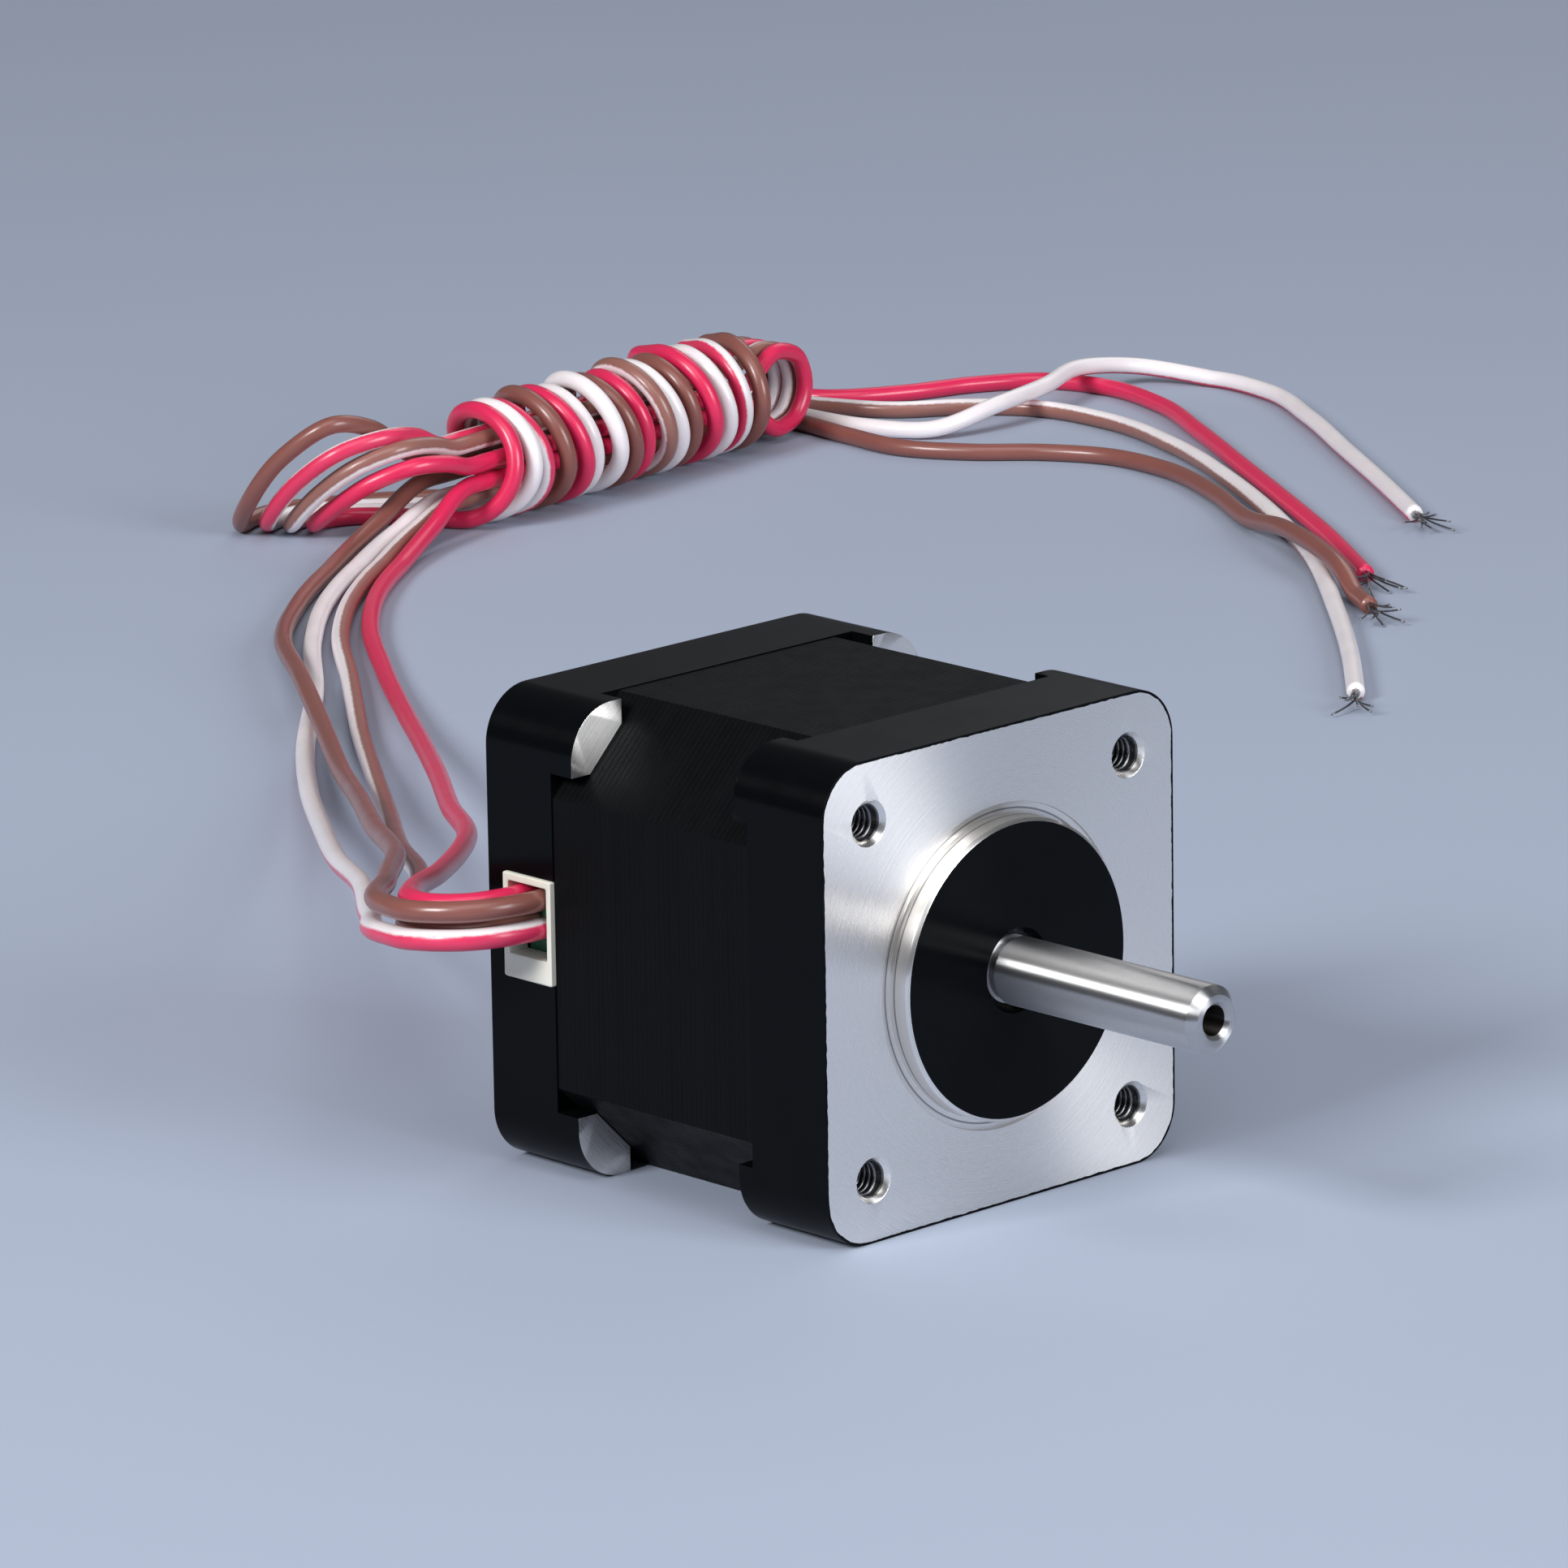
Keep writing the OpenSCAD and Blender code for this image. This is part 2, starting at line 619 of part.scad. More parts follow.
// One joint of solder behind each lead
module solder_joints() {
    color("silver") for (i = [0, 1], j = [0, 1])
        translate([grommet_x1 + board_t, lead_y + (i - 1/2)*lead_pitch, lead_z + (j - 1/2)*lead_pitch])
            rotate([0, 90, 0]) cylinder(r1 = solder_r, r2 = solder_r/2, h = solder_r);
}

function unit(v) = v/norm(v);

// Heading of a route at its point i, which weighs the stretches on both sides by the other's length
function heading(p, i) =
    i == 0 ? unit(p[1] - p[0]) :
    i == len(p) - 1 ? unit(p[i] - p[i - 1]) :
    let (back = p[i] - p[i - 1], on = p[i + 1] - p[i])
        (unit(back)*norm(on) + unit(on)*norm(back))/(norm(back) + norm(on));

// Smooth curve through a route's points, one cubic for each stretch, with a point for every ring
function smooth(p) = [
    for (i = [0:len(p) - 2])
        let (d = norm(p[i + 1] - p[i]), n = ceil(d/ring_step), h0 = d*heading(p, i), h1 = d*heading(p, i + 1))
            for (j = [0:n - 1])
                let (t = j/n, s = 1 - t)
                    lifted(s*s*(1 + 2*t)*p[i] + t*s*s*h0 + t*t*(3 - 2*t)*p[i + 1] - t*t*s*h1),
    p[len(p) - 1]];

// A point of a lead, no lower than it lies on the surface
function lifted(p) = [p.x, p.y, max(p.z, lay_z)];

// Place of lead k in the hank, at angle a round it, and its heading there
function hank_point(k, a) =
    let (along = k*hank_pitch/hank_leads + hank_pitch*(a + 90)/360, across = hank_half_w*cos(a))
        hank_start + [along*cos(hank_tilt) + across*sin(hank_tilt),
                      along*sin(hank_tilt) - across*cos(hank_tilt), hank_half_h*sin(a)];
function hank_heading(k, a) = unit(hank_point(k, a + 1) - hank_point(k, a - 1));

// The hank's ends, straight for one lead diameter
function ring_angle(i) = i*360/turn_rings - 90;
function hank_in(k, steps) = hank_point(k, ring_angle(0)) - steps*lead_d*hank_heading(k, ring_angle(0));
function hank_out(k, steps) =
    hank_point(k, ring_angle(hank_rings)) + steps*lead_d*hank_heading(k, ring_angle(hank_rings));
function hank_path(k) = concat([hank_in(k, 1)], wound_points(k), [hank_out(k, 1)]);
function wound_points(k) = [for (i = [0:hank_rings]) hank_point(k, ring_angle(i))];

// Least gaps in the hank: of a lead to its own turns, and to the lead beside it
first_turns = wound_points(0);
second_turns = wound_points(1);
self_gap = min([for (i = [0:hank_rings - turn_rings/2], j = [i + turn_rings/2:hank_rings])
    norm(first_turns[i] - first_turns[j])]) - lead_d;
beside_gap = min([for (p = first_turns, q = second_turns) norm(p - q)]) - lead_d;
echo(hank_self_gap = self_gap, hank_beside_gap = beside_gap);

// Tube swept along a path: a ring of points at each place, square to the path
module tube(path, sides, up) {
    last = len(path) - 1;
    points = [
        for (i = [0:last])
            let (t = unit(path[min(i + 1, last)] - path[max(i - 1, 0)]), u = unit(cross(up, t)), v = cross(t, u))
                for (j = [0:sides - 1]) path[i] + lead_r*(cos(j*360/sides)*u + sin(j*360/sides)*v)];
    walls = [
        for (i = [0:last - 1], j = [0:sides - 1])
            let (a = i*sides + j, b = i*sides + (j + 1) % sides)
                each [[a, a + sides, b + sides], [a, b + sides, b]]];
    start_cap = [for (j = [1:sides - 2]) [0, j, j + 1]];
    end_cap = [for (j = [1:sides - 2]) [last*sides, last*sides + j + 1, last*sides + j]];
    polyhedron(points, concat(walls, start_cap, end_cap));
}

// Lead k's free stretch from the terminal board to the hank
module lead(route, k, tint) {
    color(tint) tube(smooth(concat(route, [hank_in(k, 2), hank_in(k, 1)])), lead_sides, [0, 0, 1]);
}

// Lead k's turns in the hank
module hank(k, tint) {
    color(tint) tube(hank_path(k), wound_sides, [cos(hank_tilt), sin(hank_tilt), 0]);
}

// Lead k's free stretch from the hank to its end
module tail(route, k, tint) {
    color(tint) tube(smooth(concat([hank_out(k, 1), hank_out(k, 2)], route)), lead_sides, [0, 0, 1]);
}

// Bare tinned strands past the end of the insulation
module bare_end(route) {
    tip = route[len(route) - 1];
    away = heading(route, len(route) - 1);
    color("silver") translate(tip) rotate([0, 90, atan2(away.y, away.x)]) cylinder(d = conductor_d, h = strip_len);
}

front_cap();
rear_cap();
stator_stack();
front_winding_former();
rear_winding_former();
phase_a_coils();
phase_b_coils();
shaft();
front_rotor_cup();
rear_rotor_cup();
rotor_magnet();
front_spacer();
rear_spacer();
outer_race(front_seat_y);  // front_bearing_outer_race
inner_race(front_seat_y);  // front_bearing_inner_race
balls(front_seat_y);  // front_bearing_balls
cage(front_seat_y);  // front_bearing_cage
shields(front_seat_y);  // front_bearing_shields
outer_race(rear_seat_y);  // rear_bearing_outer_race
inner_race(rear_seat_y);  // rear_bearing_inner_race
balls(rear_seat_y);  // rear_bearing_balls
cage(rear_seat_y);  // rear_bearing_cage
shields(rear_seat_y);  // rear_bearing_shields
preload_washer();
assembly_screws();
lock_washers();
lead_grommet();
terminal_board();
solder_joints();
lead(red_route, 0, "crimson");  // red_lead
hank(0, "crimson");  // red_lead_hank
tail(red_tail, 0, "crimson");  // red_lead_tail
bare_end(red_tail);  // red_lead_end
lead(white_brown_route, 1, "white");  // white_brown_lead
hank(1, "white");  // white_brown_lead_hank
tail(white_brown_tail, 1, "white");  // white_brown_lead_tail
bare_end(white_brown_tail);  // white_brown_lead_end
lead(white_red_route, 2, "snow");  // white_red_lead
hank(2, "snow");  // white_red_lead_hank
tail(white_red_tail, 2, "snow");  // white_red_lead_tail
bare_end(white_red_tail);  // white_red_lead_end
lead(brown_route, 3, "saddlebrown");  // brown_lead
hank(3, "saddlebrown");  // brown_lead_hank
tail(brown_tail, 3, "saddlebrown");  // brown_lead_tail
bare_end(brown_tail);  // brown_lead_end
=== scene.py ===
"""Looks of the stepper motor: its finishes, its four leads, the threads in its holes, and a plain studio."""

import json
import math

import bpy
from mathutils import Matrix, Vector


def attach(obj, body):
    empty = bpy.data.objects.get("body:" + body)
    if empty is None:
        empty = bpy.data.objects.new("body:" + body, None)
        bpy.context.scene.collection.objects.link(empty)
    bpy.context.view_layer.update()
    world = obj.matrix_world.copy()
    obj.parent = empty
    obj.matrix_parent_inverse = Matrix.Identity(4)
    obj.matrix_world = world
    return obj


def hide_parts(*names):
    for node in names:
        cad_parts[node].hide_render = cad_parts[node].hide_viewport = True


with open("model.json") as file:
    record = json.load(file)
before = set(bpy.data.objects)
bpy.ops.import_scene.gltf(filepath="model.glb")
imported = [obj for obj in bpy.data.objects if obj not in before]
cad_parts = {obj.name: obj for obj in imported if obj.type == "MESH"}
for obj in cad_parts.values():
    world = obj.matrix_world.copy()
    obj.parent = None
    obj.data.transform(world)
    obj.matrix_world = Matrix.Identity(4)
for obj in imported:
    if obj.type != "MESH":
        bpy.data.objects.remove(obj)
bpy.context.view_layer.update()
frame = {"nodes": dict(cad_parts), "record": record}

# Sizes of the motor, in metres, as its solids have them
MM = 0.001
FRAME_W = 0.0352
CAP_CORNER_R = 0.004
HOLE_SPACING = 0.026
HOLE_R = 0.00125
PILOT_H = 0.0016
EAR_FACE_Y = 0.0255
SHEET_T = 0.0005
CENTRE_HOLE_R = 0.0011
FLOOR_Z = -FRAME_W / 2

# Camera, solved from the photograph's corners, holes and edges
CAMERA_PLACE = (-0.510572, -0.5089996, 0.2014153)
CAMERA_YAW = -0.7658
CAMERA_PITCH = 0.2549
CAMERA_ROLL = 0.0159
IMAGE_SIDE_PX = 1932
FOCAL_PX = 13000
SENSOR = 36
CLIP_NEAR = 0.01
CLIP_FAR = 50


def make_camera():
    data = bpy.data.cameras.new("camera")
    data.sensor_width = SENSOR
    data.lens = FOCAL_PX / IMAGE_SIDE_PX * SENSOR
    data.clip_start = CLIP_NEAR
    data.clip_end = CLIP_FAR
    camera = bpy.data.objects.new("camera", data)
    bpy.context.scene.collection.objects.link(camera)
    turn = (
        Matrix.Rotation(CAMERA_YAW, 4, "Z")
        @ Matrix.Rotation(-CAMERA_PITCH, 4, "X")
        @ Matrix.Rotation(CAMERA_ROLL, 4, "Y")
        @ Matrix.Rotation(math.pi / 2, 4, "X")
    )
    camera.matrix_world = Matrix.Translation(CAMERA_PLACE) @ turn
    bpy.context.scene.camera = camera


make_camera()

# Leads: their thickness, the height of their middles on the floor, and how finely they are made
LEAD_D = 0.0016
LAY_Z = FLOOR_Z + LEAD_D / 2
LEAD_RING_STEP = 0.0005
LEAD_SIDES = 20

# Hank: its place, the oval that the leads wind round, and how the turns lean, drift and swell
HANK_LEADS = 4
HANK_PITCH = 0.0096
HANK_HALF_W = 0.0049
HANK_HALF_H = 0.0046
HANK_START = Vector((0.116, 0.185, LAY_Z + HANK_HALF_H))
HANK_TILT = math.radians(8)
HANK_FIRST = math.radians(-90)
HANK_LAST = math.radians(1185)
HANK_STEPS = 425
HANK_LENGTH = 0.044
HANK_EASE = 0.010
HANK_LEAN = 0.0026
HANK_DRIFT = 0.0003
DRIFT_RATE = 0.53
DRIFT_STEP = 1.9
HANK_SWELL = 0.16
SWELL_RATE = 0.37
SWELL_STEP = 2.3

# Routes from the terminal board to the hank, and from the hank to the insulation's end.
# A point without a height lies on the floor.
RED_ROUTE = [
    (-0.016, 0.03125, 0.003), (-0.019, 0.03125, 0.003), (-0.0216, 0.0324, 0.0029),
    (-0.023, 0.0351, 0.0027), (-0.0221, 0.0379, 0.0024), (-0.019, 0.0413, 0.0017),
    (-0.0095, 0.049, -0.0003), (0.007, 0.064, -0.0035), (0.0225, 0.083, -0.0075),
    (0.0375, 0.101, -0.011), (0.0515, 0.1185, -0.014), (0.063, 0.1335, -0.016), (0.073, 0.147),
    (0.083, 0.16),
]
RED_TAIL = [
    (0.1506, 0.198, -0.011), (0.1518, 0.203, -0.014), (0.155, 0.2083, -0.016), (0.161, 0.2108),
    (0.1673, 0.209), (0.1715, 0.2035), (0.1745, 0.1965), (0.181, 0.1925), (0.188, 0.1902),
    (0.1935, 0.1865), (0.1955, 0.18), (0.1935, 0.171), (0.1875, 0.16), (0.18, 0.1475), (0.1725, 0.135),
    (0.1645, 0.122), (0.156, 0.1095),
]
WHITE_BROWN_ROUTE = [
    (-0.016, 0.03125, 0.0009), (-0.019, 0.03125, 0.0009), (-0.0216, 0.0324, 0.0008),
    (-0.023, 0.0351, 0.0006), (-0.0222, 0.038, 0.0002), (-0.0193, 0.0416, -0.0006),
    (-0.0115, 0.0496, -0.0026), (0.0035, 0.0655, -0.006), (0.018, 0.084, -0.01),
    (0.0325, 0.1015, -0.0133), (0.0465, 0.119, -0.0156), (0.058, 0.1335), (0.069, 0.147),
    (0.0795, 0.16),
]
WHITE_BROWN_TAIL = [
    (0.153, 0.198, -0.011), (0.1542, 0.2027, -0.0142), (0.157, 0.2068, -0.0162), (0.1613, 0.2084),
    (0.166, 0.207), (0.1692, 0.202), (0.1715, 0.195), (0.175, 0.188), (0.1805, 0.1838), (0.1845, 0.178),
    (0.185, 0.1695), (0.1813, 0.157), (0.1748, 0.144), (0.167, 0.131), (0.1575, 0.1175),
    (0.1455, 0.1035), (0.1335, 0.0905), (0.124, 0.081),
]
WHITE_RED_ROUTE = [
    (-0.016, 0.02915, 0.0009), (-0.019, 0.02915, 0.0009), (-0.0229, 0.0308, 0.0008),
    (-0.0249, 0.0348, 0.0005), (-0.0239, 0.0389, 0), (-0.016, 0.0492, -0.0024),
    (-0.0015, 0.0665, -0.006), (0.012, 0.0845, -0.01), (0.0255, 0.1015, -0.0133),
    (0.039, 0.1185, -0.0156), (0.051, 0.1325), (0.0645, 0.1465), (0.0763, 0.16),
]
WHITE_RED_TAIL = [
    (0.1554, 0.198, -0.011), (0.1563, 0.2017, -0.014), (0.1584, 0.205, -0.0158),
    (0.1618, 0.2062, -0.0167), (0.1652, 0.2048), (0.1671, 0.201), (0.1673, 0.193), (0.168, 0.185),
    (0.171, 0.1788, -0.0166), (0.178, 0.1773, -0.0152), (0.186, 0.179, -0.015),
    (0.194, 0.1819, -0.0149), (0.201, 0.181, -0.0158), (0.205, 0.175), (0.2043, 0.167),
    (0.1988, 0.1565), (0.1913, 0.145), (0.1838, 0.1335), (0.176, 0.122),
]
BROWN_ROUTE = [
    (-0.016, 0.02915, 0.003), (-0.019, 0.02915, 0.003), (-0.0229, 0.0308, 0.0029),
    (-0.0249, 0.0348, 0.0026), (-0.0237, 0.039, 0.0021), (-0.014, 0.0497, -0.0001),
    (0.0015, 0.066, -0.004), (0.0155, 0.084, -0.008), (0.029, 0.101, -0.0113), (0.042, 0.118, -0.0142),
    (0.0525, 0.132, -0.015), (0.0625, 0.146, -0.015), (0.072, 0.159, -0.0158),
]
BROWN_TAIL = [
    (0.1576, 0.1975, -0.0112), (0.158, 0.2003, -0.0134), (0.1595, 0.2026, -0.0152),
    (0.1622, 0.2034, -0.0163), (0.1646, 0.202), (0.1654, 0.1985), (0.1652, 0.191), (0.1642, 0.183),
    (0.164, 0.176), (0.167, 0.17), (0.1715, 0.1648), (0.1743, 0.159), (0.174, 0.1515), (0.17, 0.1415),
    (0.164, 0.1315, -0.0166), (0.1588, 0.122, -0.0151), (0.1548, 0.114, -0.015),
    (0.1518, 0.1085, -0.0155), (0.1496, 0.1047), (0.1475, 0.1012),
]

# The hank's core, for each lead: where it enters, its place in the core, the fold at the far end, and its
# loop at the near end. Each point is given along the hank, across it and up from its middle, and lies on the
# floor where it has no height.
CORE_ENTRIES = [
    [(-0.026, 0.0125), (-0.016, 0.007, -0.0045), (-0.008, 0.0038, -0.0033)],
    [(-0.029, 0.012), (-0.018, 0.006), (-0.0085, 0.002, -0.0039)],
    [(-0.032, 0.0114), (-0.02, 0.0048), (-0.009, 0.0003, -0.004)],
    [(-0.0355, 0.0108), (-0.0225, 0.0036), (-0.0095, -0.0017, -0.0035)],
]
CORE_SPOTS = [(0.0025, 0.0009), (0.00085, 0.00245), (-0.00085, 0.00245), (-0.0025, 0.0009)]
CORE_STATIONS = [-0.001, 0.001, 0.02, 0.037, 0.039]
FOLD_ALONG = 0.0448
FOLD_UP = -0.00035
FOLD_R = 0.0037
FOLD_ANGLES = [-95, -50, -5, 45, 95]
LOOPS = [
    [(-0.004, 0.0024, 0.0017), (-0.0072, 0.0014, 0.0019), (-0.0098, -0.0014, 0.0006),
     (-0.0108, -0.0052, -0.002), (-0.01, -0.0084, -0.0041), (-0.0076, -0.01), (-0.0048, -0.0092),
     (-0.0027, -0.0068), (-0.0015, -0.0042)],
    [(-0.0044, 0.0008, 0.0033), (-0.0081, 0.00032, 0.0035), (-0.01108, -0.00236, 0.0021),
     (-0.01232, -0.00632, -0.001), (-0.0116, -0.00968, -0.0039), (-0.00913, -0.0117),
     (-0.0058, -0.0116), (-0.002, -0.0086), (0.0009, -0.0044)],
    [(-0.0044, -0.0009, 0.0039), (-0.00864, -0.00076, 0.0046), (-0.0122, -0.003, 0.0037),
     (-0.01392, -0.00728, 0.0004), (-0.0132, -0.01112, -0.0034), (-0.01049, -0.01332),
     (-0.0064, -0.0137), (-0.0006, -0.0098), (0.0038, -0.0046)],
    [(-0.0046, -0.0027, 0.0026), (-0.00864, -0.00247, 0.0052), (-0.01286, -0.00348, 0.0062),
     (-0.01528, -0.00744, 0.0032), (-0.01512, -0.01208, -0.002), (-0.01253, -0.01493, -0.0045),
     (-0.008, -0.016), (0.0014, -0.0112), (0.0072, -0.005)],
]


def laid(points):
    """The points as vectors. One without a height lies on the floor."""
    return [Vector(p) if len(p) == 3 else Vector((*p, LAY_Z)) for p in points]


def smooth(points):
    """A curve through the points, one cubic for each stretch, as the solids have it."""
    steps = [b - a for a, b in zip(points, points[1:])]
    headings = [steps[0].normalized()]
    for back, on in zip(steps, steps[1:]):
        total = back.length + on.length
        headings.append((back.normalized() * on.length + on.normalized() * back.length) / total)
    headings.append(steps[-1].normalized())
    curve = []
    for i, step in enumerate(steps):
        count = math.ceil(step.length / LEAD_RING_STEP)
        for j in range(count):
            t = j / count
            s = 1 - t
            point = (
                s * s * (1 + 2 * t) * points[i]
                + t * s * s * step.length * headings[i]
                + t * t * (3 - 2 * t) * points[i + 1]
                - t * t * s * step.length * headings[i + 1]
            )
            point.z = max(point.z, LAY_Z)
            curve.append(point)
    return curve + [points[-1]]


def in_hank(along, across, up=-HANK_HALF_H):
    """A point along the hank, across it and up from its middle. Without a height it lies on the floor."""
    return HANK_START + Vector((
        along * math.cos(HANK_TILT) + across * math.sin(HANK_TILT),
        along * math.sin(HANK_TILT) - across * math.cos(HANK_TILT),
        up,
    ))


def ease(t):
    t = min(1.0, max(0.0, t))
    return t * t * (3 - 2 * t)


def hank_point(k, angle):
    """Place of lead k in the hank, at an angle round it.

    Away from the hank's ends the turns lean and differ a little.
    """
    along = k * HANK_PITCH / HANK_LEADS + HANK_PITCH * (angle - HANK_FIRST) / math.tau
    held = ease(along / HANK_EASE) * ease((HANK_LENGTH - along) / HANK_EASE)
    swell = 1 + held * HANK_SWELL * (0.5 + 0.5 * math.sin(SWELL_RATE * angle + SWELL_STEP * k))
    drift = HANK_DRIFT * math.sin(DRIFT_RATE * angle + DRIFT_STEP * k) - HANK_LEAN * math.sin(angle)
    return in_hank(
        along + held * drift,
        HANK_HALF_W * math.cos(angle) * swell,
        HANK_HALF_H * math.sin(angle) * (swell if math.sin(angle) > 0 else 1),
    )


def hank_heading(k, angle):
    nudge = math.radians(1)
    return (hank_point(k, angle + nudge) - hank_point(k, angle - nudge)).normalized()


def core_line(k):
    """Lead k through the middle of the hank, round a fold at its far end, back, and round its near loop."""
    across, up = CORE_SPOTS[k]
    there = [(along, across, -up) for along in CORE_STATIONS]
    back = [(along, across, up) for along in reversed(CORE_STATIONS)]
    fold = []
    for angle in FOLD_ANGLES:
        a = math.radians(angle)
        fold.append((FOLD_ALONG + FOLD_R * math.cos(a), across, FOLD_UP + FOLD_R * math.sin(a)))
    return [in_hank(*spot) for spot in CORE_ENTRIES[k] + there + fold + back + LOOPS[k]]


def lead_path(route, k, tail):
    """A lead's whole line, from the terminal board through the hank to the end of its insulation."""
    first, last = hank_point(k, HANK_FIRST), hank_point(k, HANK_LAST)
    into, out = hank_heading(k, HANK_FIRST) * LEAD_D, hank_heading(k, HANK_LAST) * LEAD_D
    before = smooth(laid(route) + core_line(k) + [first - 2 * into, first - into])
    turn = (HANK_LAST - HANK_FIRST) / HANK_STEPS
    wound = [hank_point(k, HANK_FIRST + i * turn) for i in range(HANK_STEPS + 1)]
    after = smooth([last + out, last + 2 * out] + laid(tail))
    return before + wound + after


def add_mesh(name, verts, faces, around=None):
    """A new mesh object. around gives each vertex's place round and along a tube, for its UV map."""
    mesh = bpy.data.meshes.new(name)
    mesh.from_pydata([tuple(v) for v in verts], [], faces)
    if around:
        layer = mesh.uv_layers.new(name="around")
        for polygon in mesh.polygons:
            spots = [around[mesh.loops[i].vertex_index] for i in polygon.loop_indices]
            wraps = max(s[0] for s in spots) - min(s[0] for s in spots) > 0.5
            for i, (turn, along) in zip(polygon.loop_indices, spots):
                layer.data[i].uv = (turn + 1 if wraps and turn < 0.5 else turn, along)
    mesh.polygons.foreach_set("use_smooth", [True] * len(mesh.polygons))
    piece = bpy.data.objects.new(name, mesh)
    bpy.context.scene.collection.objects.link(piece)
    return piece


def tube_shape(points, radii, sides, start_turn=0.0, twist=0.0):
    """Vertices, faces and places of a tube along the points, whose sides don't turn but for the twist."""
    verts, places, along = [], [], 0.0
    tangent = (points[1] - points[0]).normalized()
    side = tangent.cross(Vector((0, 0, 1))).normalized()
    for i, point in enumerate(points):
        ahead = points[min(i + 1, len(points) - 1)] - points[max(i - 1, 0)]
        new_tangent = ahead.normalized()
        side = tangent.rotation_difference(new_tangent) @ side
        side = (side - side.dot(new_tangent) * new_tangent).normalized()
        tangent = new_tangent
        up = tangent.cross(side)
        if i:
            along += (point - points[i - 1]).length
        for j in range(sides):
            a = math.tau * j / sides + start_turn + twist * along
            verts.append(point + radii[i] * (math.cos(a) * side + math.sin(a) * up))
            places.append((j / sides, along))
    faces = []
    for i in range(len(points) - 1):
        for j in range(sides):
            a, b = i * sides + j, i * sides + (j + 1) % sides
            faces.append((a, b, b + sides, a + sides))
    faces.append(tuple(range(sides - 1, -1, -1)))
    faces.append(tuple((len(points) - 1) * sides + j for j in range(sides)))
    return verts, faces, places


# Share of the lead's thickness that is left at its cut end
END_ROUND_SHARE = 0.93


def make_lead(name, route, k, tail, start_turn, twist):
    """One lead as a tube of its real length. Its end is drawn in a little, as cut insulation is."""
    path = lead_path(route, k, tail)
    radii = [LEAD_D / 2] * len(path)
    radii[-1] = LEAD_D / 2 * END_ROUND_SHARE
    verts, faces, places = tube_shape(path, radii, LEAD_SIDES, start_turn, twist)
    piece = add_mesh(name + "_insulation", verts, faces, places)
    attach(piece, "housing")
    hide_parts(name, name + "_hank", name + "_tail")
    return piece, path


# Frayed strands past the end of each lead
STRAND_COUNT = 9
STRAND_D = 0.00018
STRAND_SIDES = 6
STRAND_STEPS = 14
STRAND_REACH = 0.0065
STRAND_BUNDLE_R = 0.00032
STRAND_INSIDE_SHARE = 0.1
# How far a strand may swing aside, how much of that it may dip, how it curls, and how its length differs
STRAND_SPREAD = math.radians(21)
STRAND_DIP = 0.4
STRAND_CURL = 1.6
STRAND_CURL_SHARE = 0.16
STRAND_REACH_DIFFERS = 0.2
# Steps from a strand's own seed to the seeds of its lift, curl and length
LIFT_SEED = 0.37
CURL_SEED = 0.71
REACH_SEED = 0.13
SCATTER_RATE = 127.1
SCATTER_START = 11.7
SCATTER_SCALE = 43758.5453


def scatter(seed):
    """A number from 0 to 1 that is the same on every run."""
    value = math.sin(seed * SCATTER_RATE + SCATTER_START) * SCATTER_SCALE
    return value - math.floor(value)


def make_strands(name, path, k):
    """Tinned strands that leave the insulation together and then spread."""
    tip = path[-1]
    away = path[-1] - path[-3]
    away = Vector((away.x, away.y, 0)).normalized()
    side = away.cross(Vector((0, 0, 1)))
    verts, faces = [], []
    for n in range(STRAND_COUNT):
        seed = k * STRAND_COUNT + n + 1
        turn = math.tau * n / (STRAND_COUNT - 1)
        r = 0 if n == STRAND_COUNT - 1 else STRAND_BUNDLE_R
        start = side * r * math.cos(turn) + Vector((0, 0, r * math.sin(turn)))
        swing = STRAND_SPREAD * (2 * scatter(seed) - 1)
        lift = STRAND_SPREAD * (scatter(seed + LIFT_SEED) - STRAND_DIP)
        curl = STRAND_CURL * (scatter(seed + CURL_SEED) - 0.5)
        reach = STRAND_REACH * (1 - STRAND_REACH_DIFFERS * (1 - scatter(seed + REACH_SEED)))
        line = []
        for i in range(STRAND_STEPS + 1):
            t = i / STRAND_STEPS
            out = reach * (t - STRAND_INSIDE_SHARE)
            sway = reach * t * t * (math.sin(swing) + STRAND_CURL_SHARE * math.sin(curl * math.pi * t))
            rise = reach * t * t * math.sin(lift)
            point = tip + start + away * out + side * sway + Vector((0, 0, rise))
            point.z = max(point.z, FLOOR_Z + STRAND_D)
            line.append(point)
        base = len(verts)
        more, sides, _ = tube_shape(line, [STRAND_D / 2] * len(line), STRAND_SIDES)
        verts += more
        faces += [tuple(base + v for v in face) for face in sides]
    piece = add_mesh(name + "_strands", verts, faces)
    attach(piece, "housing")
    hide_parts(name + "_end")
    return piece


# Each lead: its name, its place in the hank, its routes, and how its stripe starts and turns, in radians and
# in radians per metre
LEADS = [
    ("red_lead", 0, RED_ROUTE, RED_TAIL, 0.0, 0.0),
    ("white_brown_lead", 1, WHITE_BROWN_ROUTE, WHITE_BROWN_TAIL, 1.2, 9.0),
    ("white_red_lead", 2, WHITE_RED_ROUTE, WHITE_RED_TAIL, 5.9, -7.0),
    ("brown_lead", 3, BROWN_ROUTE, BROWN_TAIL, 0.0, 0.0),
]
lead_pieces = {}
for lead_name, place, lead_route, lead_tail, start, spin in LEADS:
    insulation, line = make_lead(lead_name, lead_route, place, lead_tail, start, spin)
    strands = make_strands(lead_name, line, place)
    lead_pieces[lead_name] = (insulation, strands)


# Finishes. A noise is given as its scale per millimetre and its detail, a roughness as a range, and a bump as
# its strength and its depth in metres. Most of a noise lies between NOISE_LOW and NOISE_HIGH.
NOISE_LOW = 0.3
NOISE_HIGH = 0.7
